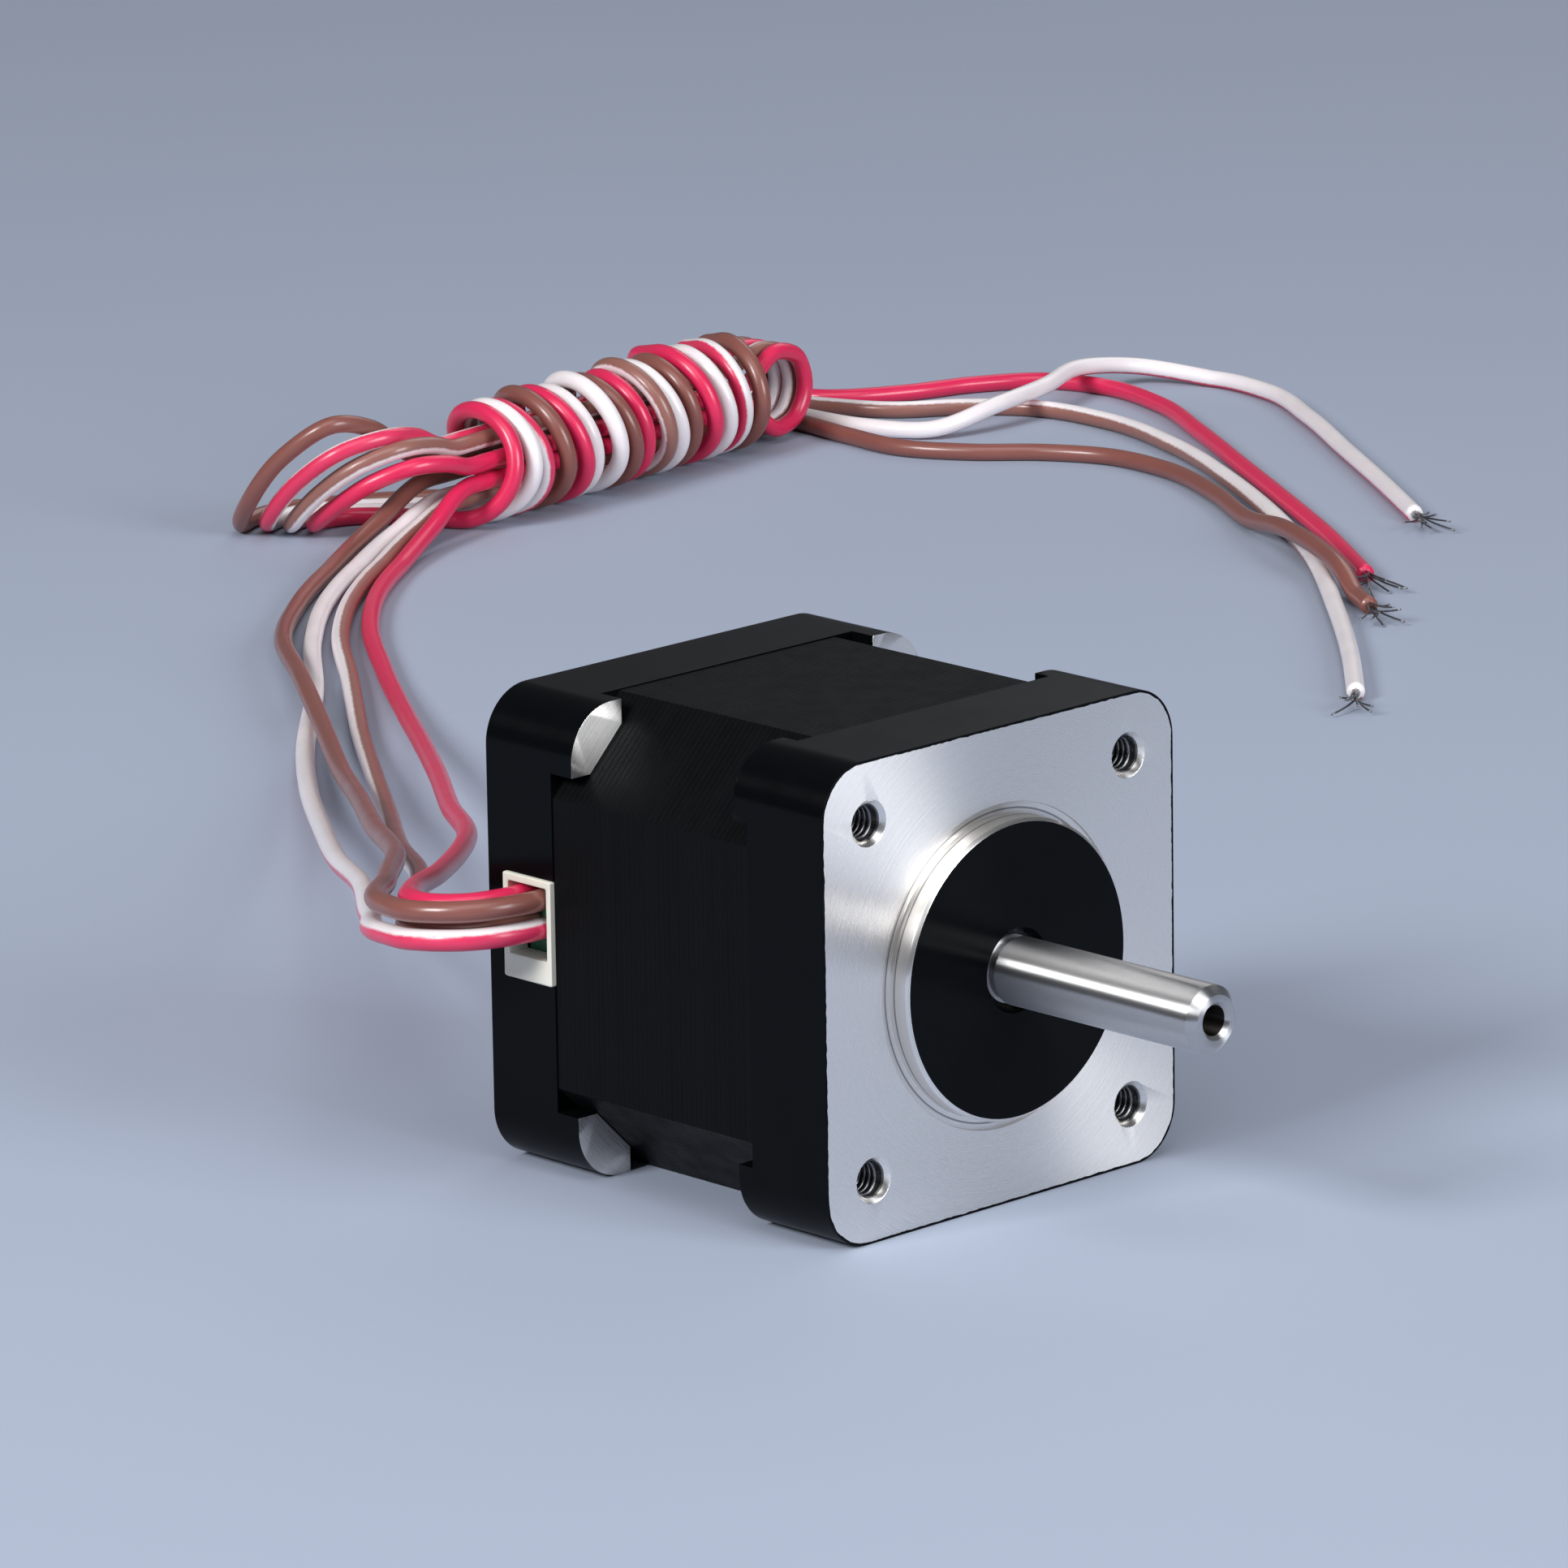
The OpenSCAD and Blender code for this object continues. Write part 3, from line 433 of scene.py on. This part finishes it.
# Turning marks stretch a highlight across themselves, a quarter of a turn from where they run
GRAIN_TURN = 0.25


class Nodes:
    """Short ways to add nodes to one material's tree."""

    def __init__(self, tree):
        self.tree = tree
        self.shader = tree.nodes["Principled BSDF"]

    def add(self, kind, **settings):
        node = self.tree.nodes.new(kind)
        for key, value in settings.items():
            setattr(node, key, value)
        return node

    def put(self, value, socket):
        """Puts another node's output, a colour or a number on a socket."""
        if isinstance(value, bpy.types.NodeSocket):
            self.tree.links.new(value, socket)
        elif isinstance(value, tuple):
            socket.default_value = (*value, 1)
        else:
            socket.default_value = value

    def set(self, **sockets):
        """Puts values on the shader's sockets."""
        for key, value in sockets.items():
            self.put(value, self.shader.inputs[key.replace("_", " ")])

    def math(self, operation, *values):
        node = self.add("ShaderNodeMath", operation=operation)
        for value, socket in zip(values, node.inputs):
            self.put(value, socket)
        return node.outputs[0]

    def place(self):
        """The point in the part's own frame, in millimetres, as a vector and as x, y and z."""
        scaled = self.add("ShaderNodeVectorMath", operation="SCALE")
        scaled.inputs["Scale"].default_value = 1 / MM
        self.put(self.add("ShaderNodeTexCoord").outputs["Object"], scaled.inputs[0])
        return scaled.outputs[0], self.split(scaled.outputs[0])

    def split(self, vector):
        node = self.add("ShaderNodeSeparateXYZ")
        self.put(vector, node.inputs[0])
        return node.outputs

    def along(self, value, axis):
        """A vector that has the value along one axis: 0 for x, 1 for y, 2 for z."""
        node = self.add("ShaderNodeCombineXYZ")
        self.put(value, node.inputs[axis])
        return node.outputs[0]

    def stretched(self, vector, scale):
        node = self.add("ShaderNodeMapping")
        node.inputs["Scale"].default_value = scale
        self.put(vector, node.inputs["Vector"])
        return node.outputs[0]

    def noise(self, vector, scale, detail):
        node = self.add("ShaderNodeTexNoise")
        node.inputs["Scale"].default_value = scale
        node.inputs["Detail"].default_value = detail
        self.put(vector, node.inputs["Vector"])
        return node.outputs["Fac"]

    def spread(self, value, low, high, from_low=NOISE_LOW, from_high=NOISE_HIGH):
        """low to high as the value goes through its own range, which is where most of a noise lies."""
        node = self.add("ShaderNodeMapRange")
        ends = {"From Min": from_low, "From Max": from_high, "To Min": low, "To Max": high}
        for socket, number in ends.items():
            node.inputs[socket].default_value = number
        self.put(value, node.inputs["Value"])
        return node.outputs["Result"]

    def mix(self, share, a, b, kind="RGBA"):
        """a where the share is 0 and b where it is 1, for colours, or for numbers with the kind FLOAT."""
        node = self.add("ShaderNodeMix", data_type=kind)
        for value, socket in ((share, "Factor"), (a, "A"), (b, "B")):
            self.put(value, node.inputs[socket])
        return node.outputs["Result"]

    def bump(self, height, strength, depth):
        node = self.add("ShaderNodeBump")
        node.inputs["Strength"].default_value = strength
        node.inputs["Distance"].default_value = depth
        self.put(height, node.inputs["Height"])
        self.put(node.outputs["Normal"], self.shader.inputs["Normal"])

    def turned(self, anisotropic):
        """Stretches the highlights as fine turning marks about the shaft's axis do."""
        tangent = self.add("ShaderNodeTangent", direction_type="RADIAL", axis="Y")
        self.set(Tangent=tangent.outputs[0], Anisotropic=anisotropic, Anisotropic_Rotation=GRAIN_TURN)


def new_material(name):
    """A material that has only its shader, and the ways to add nodes to it."""
    material = bpy.data.materials.new(name)
    material.use_nodes = True
    return material, Nodes(material.node_tree)


def from_middle(nodes, x, z):
    """Distance from the middle, in millimetres, for a point at x and z from it."""
    return nodes.math("SQRT", nodes.math("ADD", nodes.math("MULTIPLY", x, x), nodes.math("MULTIPLY", z, z)))


def outline_depth(nodes, x, z):
    """How far a point of the square face lies inside the cap's rounded outline, in millimetres."""
    half, radius = FRAME_W / 2 / MM, CAP_CORNER_R / MM
    out_x, out_z = nodes.math("ABSOLUTE", x), nodes.math("ABSOLUTE", z)
    over_x = nodes.math("MAXIMUM", nodes.math("SUBTRACT", out_x, half - radius), 0.0)
    over_z = nodes.math("MAXIMUM", nodes.math("SUBTRACT", out_z, half - radius), 0.0)
    at_corner = nodes.math("GREATER_THAN", nodes.math("MULTIPLY", over_x, over_z), 0.0)
    inside_side = nodes.math("SUBTRACT", half, nodes.math("MAXIMUM", out_x, out_z))
    inside_corner = nodes.math("SUBTRACT", radius, from_middle(nodes, over_x, over_z))
    cut = nodes.math("MULTIPLY", at_corner, nodes.math("SUBTRACT", inside_corner, inside_side))
    return nodes.math("ADD", inside_side, cut)


# Caps: black paint over bright turned metal. Places on them are in millimetres.
PAINT = (0.0012, 0.0017, 0.0021)
PAINT_WORN = (0.002, 0.0026, 0.0032)
PAINT_NOISE = (0.35, 4)
PAINT_ROUGH = (0.2, 0.24)
PAINT_SPECULAR = 0.07
BARE_METAL = (0.86, 0.83, 0.79)
MACHINED = (0.90, 0.87, 0.84)
MACHINED_NOISE = (14.0, 2)
MACHINED_ROUGH = (0.24, 0.34)
MACHINED_ANISOTROPIC = 0.85
CAP_BUMP_NOISE = (9.0, 2)
CAP_BUMP = (0.05, 0.00002)
# The painted line round the face's edge, and how unevenly it is worn
EDGE_LINE = 0.2
EDGE_NOISE = (1.1, 3)
EDGE_UNEVEN = 0.25
# Depth of the bare metal behind the face, reach of the black round the shaft, room for rounding at the boss's
# black front and the ears' bare fronts, and how squarely a surface looks forward to count as a front
HOLE_DEPTH = 4.5
SHAFT_HOLE_REACH = 5.0
BOSS_LIP = 0.1
EAR_SPARE = 0.1
FRONT_FACING = 0.9
# Painted shade: darker metal inside the mounting holes, and in the two fine turned rings round the boss
HOLE_PAINTED_SHADE = (0.16, 0.16, 0.16)
HOLE_SPARE = 0.1
RING_PAINTED_SHADE = (0.36, 0.355, 0.35)
RING_R = 11.4
RING_Y = -0.25
RING_HALF = 0.07


def in_a_hole(nodes, x, y, z):
    """1 inside the four mounting holes, below their mouths."""
    half = HOLE_SPACING / 2 / MM
    off = from_middle(
        nodes,
        nodes.math("SUBTRACT", nodes.math("ABSOLUTE", x), half),
        nodes.math("SUBTRACT", nodes.math("ABSOLUTE", z), half),
    )
    within = nodes.math("LESS_THAN", off, HOLE_R / MM + HOLE_SPARE)
    return nodes.math("MULTIPLY", within, nodes.math("GREATER_THAN", y, HOLE_SPARE))


def in_a_turned_ring(nodes, x, y, z):
    """1 in the two fine grooves round the boss: one on the face, and one at the foot of the boss's side."""
    from_face_ring = nodes.math("ABSOLUTE", nodes.math("SUBTRACT", from_middle(nodes, x, z), RING_R))
    from_side_ring = nodes.math("ABSOLUTE", nodes.math("SUBTRACT", y, RING_Y))
    return nodes.math("LESS_THAN", nodes.math("MINIMUM", from_face_ring, from_side_ring), RING_HALF)


def faces_front(nodes):
    """1 where the surface looks to the front, along the shaft."""
    normal = nodes.split(nodes.add("ShaderNodeNewGeometry").outputs["True Normal"])
    return nodes.math("LESS_THAN", normal[1], -FRONT_FACING)


def front_is_bare(nodes, spot, x, y, z):
    """The turned face, its holes and the boss's side are bare. A thin painted line edges the face."""
    worn = nodes.math("SUBTRACT", nodes.noise(spot, *EDGE_NOISE), 0.5)
    depth = nodes.math("ADD", outline_depth(nodes, x, z), nodes.math("MULTIPLY", worn, EDGE_UNEVEN))
    inside = nodes.math("GREATER_THAN", depth, EDGE_LINE)
    near_face = nodes.math("LESS_THAN", y, HOLE_DEPTH)
    on_boss = nodes.math("LESS_THAN", y, BOSS_LIP - PILOT_H / MM)
    at_shaft = nodes.math("LESS_THAN", from_middle(nodes, x, z), SHAFT_HOLE_REACH)
    black_boss = nodes.math("MAXIMUM", nodes.math("MULTIPLY", on_boss, faces_front(nodes)), at_shaft)
    bare = nodes.math("MULTIPLY", inside, near_face)
    return nodes.math("MULTIPLY", bare, nodes.math("SUBTRACT", 1.0, black_boss))


def rear_is_bare(nodes, _spot, _x, y, _z):
    """Only the corner ears' front faces are bare."""
    at_ear = nodes.math("LESS_THAN", y, EAR_FACE_Y / MM + EAR_SPARE)
    return nodes.math("MULTIPLY", faces_front(nodes), at_ear)


def cap_material(name, is_bare):
    """A cap of smooth black paint, a little uneven, with bare turned metal where is_bare says so."""
    material, nodes = new_material(name)
    spot, (x, y, z) = nodes.place()
    uneven = nodes.noise(spot, *PAINT_NOISE)
    marks = nodes.noise(nodes.along(from_middle(nodes, x, z), 0), *MACHINED_NOISE)
    metal = nodes.mix(marks, BARE_METAL, MACHINED)
    # Painted shade: the fine rings round the boss and the insides of the mounting holes are drawn in darker
    # metal
    metal = nodes.mix(in_a_turned_ring(nodes, x, y, z), metal, RING_PAINTED_SHADE)
    metal = nodes.mix(in_a_hole(nodes, x, y, z), metal, HOLE_PAINTED_SHADE)
    paint_rough = nodes.spread(uneven, *PAINT_ROUGH)
    metal_rough = nodes.spread(marks, *MACHINED_ROUGH)
    bare = is_bare(nodes, spot, x, y, z)
    nodes.set(
        Base_Color=nodes.mix(bare, nodes.mix(uneven, PAINT, PAINT_WORN), metal),
        Metallic=bare,
        Roughness=nodes.mix(bare, paint_rough, metal_rough, "FLOAT"),
        Specular_IOR_Level=PAINT_SPECULAR,
    )
    nodes.turned(MACHINED_ANISOTROPIC)
    nodes.bump(nodes.noise(spot, *CAP_BUMP_NOISE), *CAP_BUMP)
    return material


# Stator stack: satin black sheets that differ a little, with a groove between each two
STACK_BLACK = (0.001, 0.0014, 0.0018)
STACK_WORN = (0.003, 0.0035, 0.004)
STACK_NOISE = (0.5, 4)
STACK_ROUGH = (0.36, 0.5)
STACK_SPECULAR = 0.08
STACK_BUMP = (0.35, 0.00003)
SHEET_NOISE = (3.3, 1)
SHEET_STANDS = 0.4
GROOVE_HALF_SHARE = 0.16
GROOVE_ROUGHER = 0.2


def lamination_material():
    """Satin black over a stack of thin sheets, whose joints show as fine lines."""
    material, nodes = new_material("laminations")
    spot, (_, y, _) = nodes.place()
    sheets = nodes.math("DIVIDE", y, SHEET_T / MM)
    off = nodes.math("ABSOLUTE", nodes.math("SUBTRACT", nodes.math("FRACT", sheets), 0.5))
    groove = nodes.math("LESS_THAN", off, GROOVE_HALF_SHARE)
    by_sheet = nodes.noise(nodes.along(nodes.math("FLOOR", sheets), 1), *SHEET_NOISE)
    rough = nodes.spread(nodes.noise(spot, *STACK_NOISE), *STACK_ROUGH)
    nodes.set(
        Base_Color=nodes.mix(by_sheet, STACK_BLACK, STACK_WORN),
        Roughness=nodes.math("ADD", rough, nodes.math("MULTIPLY", groove, GROOVE_ROUGHER)),
        Specular_IOR_Level=STACK_SPECULAR,
    )
    nodes.bump(nodes.math("SUBTRACT", nodes.math("MULTIPLY", by_sheet, SHEET_STANDS), groove), *STACK_BUMP)
    return material


# Other metals, each with two colours that its fine marks mix, its roughness, and for some how the marks are
# scaled along x, y and z, how strongly it is turned, and the radius in millimetres of a bore on the axis,
# drawn dark as painted shade
METAL_NOISE = (4.0, 3)
METAL_BUMP = (0.1, 0.00001)
BORE_PAINTED_SHADE = (0.09, 0.08, 0.07)
BORE_SPARE = 0.02
METALS = {
    "winding": ((0.60, 0.22, 0.07), (0.45, 0.14, 0.04), (0.25, 0.4), (1, 0.05, 1)),
    "shaft_steel": (
        (0.64, 0.63, 0.63), (0.50, 0.495, 0.495), (0.31, 0.35),
        (1, 8, 1), 0.97, CENTRE_HOLE_R / MM + BORE_SPARE,
    ),
    "rotor_steel": ((0.30, 0.30, 0.31), (0.22, 0.22, 0.23), (0.3, 0.45), (1, 6, 1)),
    "magnet": ((0.24, 0.24, 0.26), (0.18, 0.18, 0.2), (0.35, 0.5)),
    "spacer": ((0.66, 0.50, 0.22), (0.55, 0.40, 0.16), (0.25, 0.35)),
    "spring_steel": ((0.62, 0.62, 0.63), (0.45, 0.45, 0.46), (0.25, 0.35)),
    "screw_steel": ((0.66, 0.67, 0.68), (0.55, 0.56, 0.58), (0.2, 0.32)),
    # Painted shade: the threads take dark metal for the shade down inside their holes
    "thread_metal": ((0.26, 0.26, 0.27), (0.16, 0.16, 0.17), (0.25, 0.4)),
    "solder": ((0.70, 0.70, 0.70), (0.58, 0.58, 0.58), (0.15, 0.3)),
    "bearing_steel": ((0.72, 0.72, 0.73), (0.62, 0.62, 0.63), (0.08, 0.16)),
    "bearing_cage": ((0.62, 0.46, 0.22), (0.5, 0.36, 0.16), (0.25, 0.35)),
    "bearing_shield": ((0.55, 0.55, 0.56), (0.48, 0.48, 0.5), (0.2, 0.3)),
    "tinned_copper": ((0.34, 0.34, 0.35), (0.22, 0.22, 0.23), (0.25, 0.4)),
}


def metal_material(name, colour, other, rough, grain=(1, 1, 1), turned=0.0, bore=0.0):
    """Bare metal with fine marks."""
    material, nodes = new_material(name)
    spot, (x, _, z) = nodes.place()
    marks = nodes.noise(nodes.stretched(spot, grain), *METAL_NOISE)
    base = nodes.mix(marks, colour, other)
    # Painted shade: the inside of the bore on the axis is drawn nearly black
    if bore:
        base = nodes.mix(nodes.math("LESS_THAN", from_middle(nodes, x, z), bore), base, BORE_PAINTED_SHADE)
    nodes.set(Base_Color=base, Metallic=1.0, Roughness=nodes.spread(marks, *rough))
    if turned:
        nodes.turned(turned)
    nodes.bump(marks, *METAL_BUMP)
    return material


# Plastics, each with two colours, its roughness, and how much light goes through its surface
PLASTIC_NOISE = (0.9, 4)
PLASTIC_BUMP_NOISE = (7.0, 3)
PLASTIC_BUMP = (0.1, 0.00002)
PLASTIC_SCATTER = 0.0006
CREAM = (0.80, 0.78, 0.68)
CREAM_DARK = (0.70, 0.67, 0.57)
PLASTICS = {
    "former": (CREAM, CREAM_DARK, (0.45, 0.6), 0.0),
    "grommet": (CREAM, CREAM_DARK, (0.35, 0.5), 0.15),
    "circuit_board": ((0.03, 0.16, 0.08), (0.02, 0.11, 0.05), (0.3, 0.4), 0.0),
}


def plastic_material(name, colour, other, rough, through):
    """Moulded plastic with faint colour and gloss variation."""
    material, nodes = new_material(name)
    spot, _ = nodes.place()
    wander = nodes.noise(spot, *PLASTIC_NOISE)
    nodes.set(
        Base_Color=nodes.mix(wander, colour, other),
        Roughness=nodes.spread(wander, *rough),
        Subsurface_Weight=through,
        Subsurface_Scale=PLASTIC_SCATTER,
    )
    nodes.bump(nodes.noise(spot, *PLASTIC_BUMP_NOISE), *PLASTIC_BUMP)
    return material


# Leads' insulation, each with its colour and for some its stripe's colour
PVC_NOISE = (0.25, 4)
PVC_SHADE = 0.86
PVC_ROUGH = (0.29, 0.36)
PVC_THROUGH = 0.12
PVC_SCATTER = 0.0005
PVC_COAT = 0.25
PVC_COAT_ROUGH = 0.15
PVC_BUMP_NOISE = (0.9, 1)
PVC_BUMP = (0.1, 0.00004)
WHITE_PVC = (0.93, 0.86, 0.87)
# The stripe, in shares of a turn: from its middle to its edge, the edge's softness, and how ragged it is
STRIPE_HALF = 0.17
STRIPE_SOFT = 0.02
STRIPE_RAGGED = 0.04
STRIPE_NOISE = (2.2, 2)
INSULATIONS = {
    "red_pvc": ((0.76, 0.022, 0.10),),
    "white_brown_pvc": (WHITE_PVC, (0.29, 0.125, 0.1)),
    "white_red_pvc": (WHITE_PVC, (0.72, 0.035, 0.11)),
    "brown_pvc": ((0.255, 0.088, 0.07),),
}


def lead_material(name, colour, stripe=None):
    """Glossy soft insulation, plain or with a stripe along it."""
    material, nodes = new_material(name)
    spot, _ = nodes.place()
    wander = nodes.noise(spot, *PVC_NOISE)
    base = nodes.mix(wander, tuple(c * PVC_SHADE for c in colour), colour)
    if stripe:
        around = nodes.split(nodes.add("ShaderNodeUVMap", uv_map="around").outputs["UV"])
        off = nodes.math("ABSOLUTE", nodes.math("SUBTRACT", nodes.math("FRACT", around[0]), 0.5))
        uneven = nodes.math("SUBTRACT", nodes.noise(spot, *STRIPE_NOISE), 0.5)
        off = nodes.math("ADD", off, nodes.math("MULTIPLY", uneven, STRIPE_RAGGED))
        on_stripe = nodes.spread(off, 1.0, 0.0, STRIPE_HALF - STRIPE_SOFT, STRIPE_HALF + STRIPE_SOFT)
        base = nodes.mix(on_stripe, base, stripe)
    nodes.set(
        Base_Color=base,
        Roughness=nodes.spread(wander, *PVC_ROUGH),
        Subsurface_Weight=PVC_THROUGH,
        Subsurface_Scale=PVC_SCATTER,
        Coat_Weight=PVC_COAT,
        Coat_Roughness=PVC_COAT_ROUGH,
    )
    nodes.bump(nodes.noise(spot, *PVC_BUMP_NOISE), *PVC_BUMP)
    return material


materials = {
    "machined_cap": cap_material("machined_cap", front_is_bare),
    "painted_cap": cap_material("painted_cap", rear_is_bare),
    "laminations": lamination_material(),
}
for make_finish, finishes in (
    (metal_material, METALS), (plastic_material, PLASTICS), (lead_material, INSULATIONS),
):
    for finish, settings in finishes.items():
        materials[finish] = make_finish(finish, *settings)


def paint(piece, name):
    """Gives a piece one finish."""
    slots = piece.data.materials
    for i in range(len(slots)):
        slots[i] = materials[name]
    if not slots:
        slots.append(materials[name])


for part in frame["record"]["subparts"]:
    paint(frame["nodes"][part["node"]], part["material_slot"])

for lead_name, (insulation, strands) in lead_pieces.items():
    slot = lead_name.replace("_lead", "_pvc")
    paint(insulation, slot)
    paint(strands, "tinned_copper")

# Rounding of the solids' sharp edges, which real castings and cuts have
EDGE_ROUND = {
    "front_cap": 0.00012, "rear_cap": 0.00018, "stator_stack": 0.00006, "lead_grommet": 0.00015,
    "assembly_screws": 0.00008, "shaft": 0.00005,
}
EDGE_SEGMENTS = 2
SHARP_ANGLE = math.radians(32)
WELD_REACH = 0.000002


def soften(node, width):
    """Joins a solid's mesh, rounds its sharp edges and shades it smooth. Its own points stay as they are."""
    piece = frame["nodes"][node]
    custom = piece.data.attributes.get("custom_normal")
    if custom:
        piece.data.attributes.remove(custom)
    piece.data.polygons.foreach_set("use_smooth", [True] * len(piece.data.polygons))
    weld = piece.modifiers.new("weld", "WELD")
    weld.merge_threshold = WELD_REACH
    bevel = piece.modifiers.new("bevel", "BEVEL")
    bevel.width = width
    bevel.segments = EDGE_SEGMENTS
    bevel.limit_method = "ANGLE"
    bevel.angle_limit = SHARP_ANGLE
    normals = piece.modifiers.new("normals", "WEIGHTED_NORMAL")
    normals.keep_sharp = True


for softened, round_width in EDGE_ROUND.items():
    soften(softened, round_width)

# Threads of the four mounting holes. The ridge's foot is a share of the pitch, and its crest one of its foot.
THREAD_PITCH = 0.0005
THREAD_DEPTH = 0.0002
THREAD_TURNS = 8
THREAD_STEPS = 32
THREAD_TOP = 0.0006
THREAD_SINK = 0.00005
THREAD_FOOT_SHARE = 0.4
THREAD_CREST_SHARE = 0.15


def make_thread(name, x, z):
    """The thread's ridge in the mounting hole at x and z, as a helical band that fades at its ends."""
    foot = THREAD_PITCH * THREAD_FOOT_SHARE
    crest = foot * THREAD_CREST_SHARE
    profile = [(THREAD_SINK, -foot), (-THREAD_DEPTH, -crest), (-THREAD_DEPTH, crest), (THREAD_SINK, foot)]
    n = len(profile)
    total = THREAD_TURNS * THREAD_STEPS
    verts, faces = [], []
    for i in range(total + 1):
        turn = math.tau * i / THREAD_STEPS
        fade = min(1, i / THREAD_STEPS, (total - i) / THREAD_STEPS)
        for out, along in profile:
            r = HOLE_R + (out if out > 0 else out * fade)
            y = THREAD_TOP + THREAD_PITCH * i / THREAD_STEPS + along
            verts.append(Vector((x + r * math.cos(turn), y, z + r * math.sin(turn))))
    for i in range(total):
        for j in range(n):
            a, b = i * n + j, i * n + (j + 1) % n
            faces.append((a, a + n, b + n, b))
    faces.append(tuple(range(n)))
    faces.append(tuple(total * n + j for j in reversed(range(n))))
    piece = add_mesh(name, verts, faces)
    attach(piece, "housing")
    # Dark metal: painted shade for the inside of the hole
    paint(piece, "thread_metal")


for side, hole_x in (("left", -HOLE_SPACING / 2), ("right", HOLE_SPACING / 2)):
    for level, hole_z in (("lower", -HOLE_SPACING / 2), ("upper", HOLE_SPACING / 2)):
        make_thread(f"{level}_{side}_thread", hole_x, hole_z)

# Studio: a pale floor and surround, and square lights with their place, target, side, power and colour
FLOOR_SIZE = 12
FLOOR_COLOUR = (0.375, 0.42, 0.525)
FLOOR_SHADE = 0.97
FLOOR_NOISE = (0.02, 3)
FLOOR_ROUGH = 0.75
FLOOR_SPECULAR = 0.25
WORLD_COLOUR = (0.68, 0.71, 0.77)
WORLD_STRENGTH = 0.16
LIGHTS = {
    "key": ((-0.92, 0.08, 0.62), (0.0, 0.02, 0.0), 0.35, 11, (0.97, 0.985, 1.0)),
    "top": ((-0.35, -0.35, 1.1), (0.0, 0.05, 0.0), 0.9, 5, (1.0, 1.0, 1.0)),
    "front": ((0.15, -0.92, 0.38), (0.0, 0.0, 0.0), 0.5, 8, (0.92, 0.955, 1.0)),
    "right": ((0.8, 0.45, 0.6), (0.0, 0.05, 0.0), 0.5, 1, (1.0, 1.0, 1.0)),
}


def make_floor():
    half = FLOOR_SIZE / 2
    mesh = bpy.data.meshes.new("floor")
    corners = [(x * half, y * half, FLOOR_Z) for x, y in ((-1, -1), (1, -1), (1, 1), (-1, 1))]
    mesh.from_pydata(corners, [], [(0, 1, 2, 3)])
    floor = bpy.data.objects.new("floor", mesh)
    bpy.context.scene.collection.objects.link(floor)
    material, nodes = new_material("floor_paper")
    spot, _ = nodes.place()
    shade = tuple(c * FLOOR_SHADE for c in FLOOR_COLOUR)
    nodes.set(
        Base_Color=nodes.mix(nodes.noise(spot, *FLOOR_NOISE), shade, FLOOR_COLOUR),
        Roughness=FLOOR_ROUGH,
        Specular_IOR_Level=FLOOR_SPECULAR,
    )
    mesh.materials.append(material)


def make_surround():
    world = bpy.data.worlds.new("studio")
    bpy.context.scene.world = world
    world.use_nodes = True
    background = world.node_tree.nodes["Background"]
    background.inputs["Color"].default_value = (*WORLD_COLOUR, 1)
    background.inputs["Strength"].default_value = WORLD_STRENGTH
    bpy.context.scene.view_settings.view_transform = "Standard"
    bpy.context.scene.view_settings.look = "None"


def add_light(name, place, target, size, energy, colour):
    """A square soft light that faces its target."""
    data = bpy.data.lights.new(name, "AREA")
    data.shape = "SQUARE"
    data.size = size
    data.energy = energy
    data.color = colour
    light = bpy.data.objects.new(name, data)
    light.location = place
    light.rotation_mode = "QUATERNION"
    light.rotation_quaternion = (Vector(target) - Vector(place)).to_track_quat("-Z", "Y")
    bpy.context.scene.collection.objects.link(light)


make_floor()
make_surround()
for light_name, light_settings in LIGHTS.items():
    add_light(light_name, *light_settings)
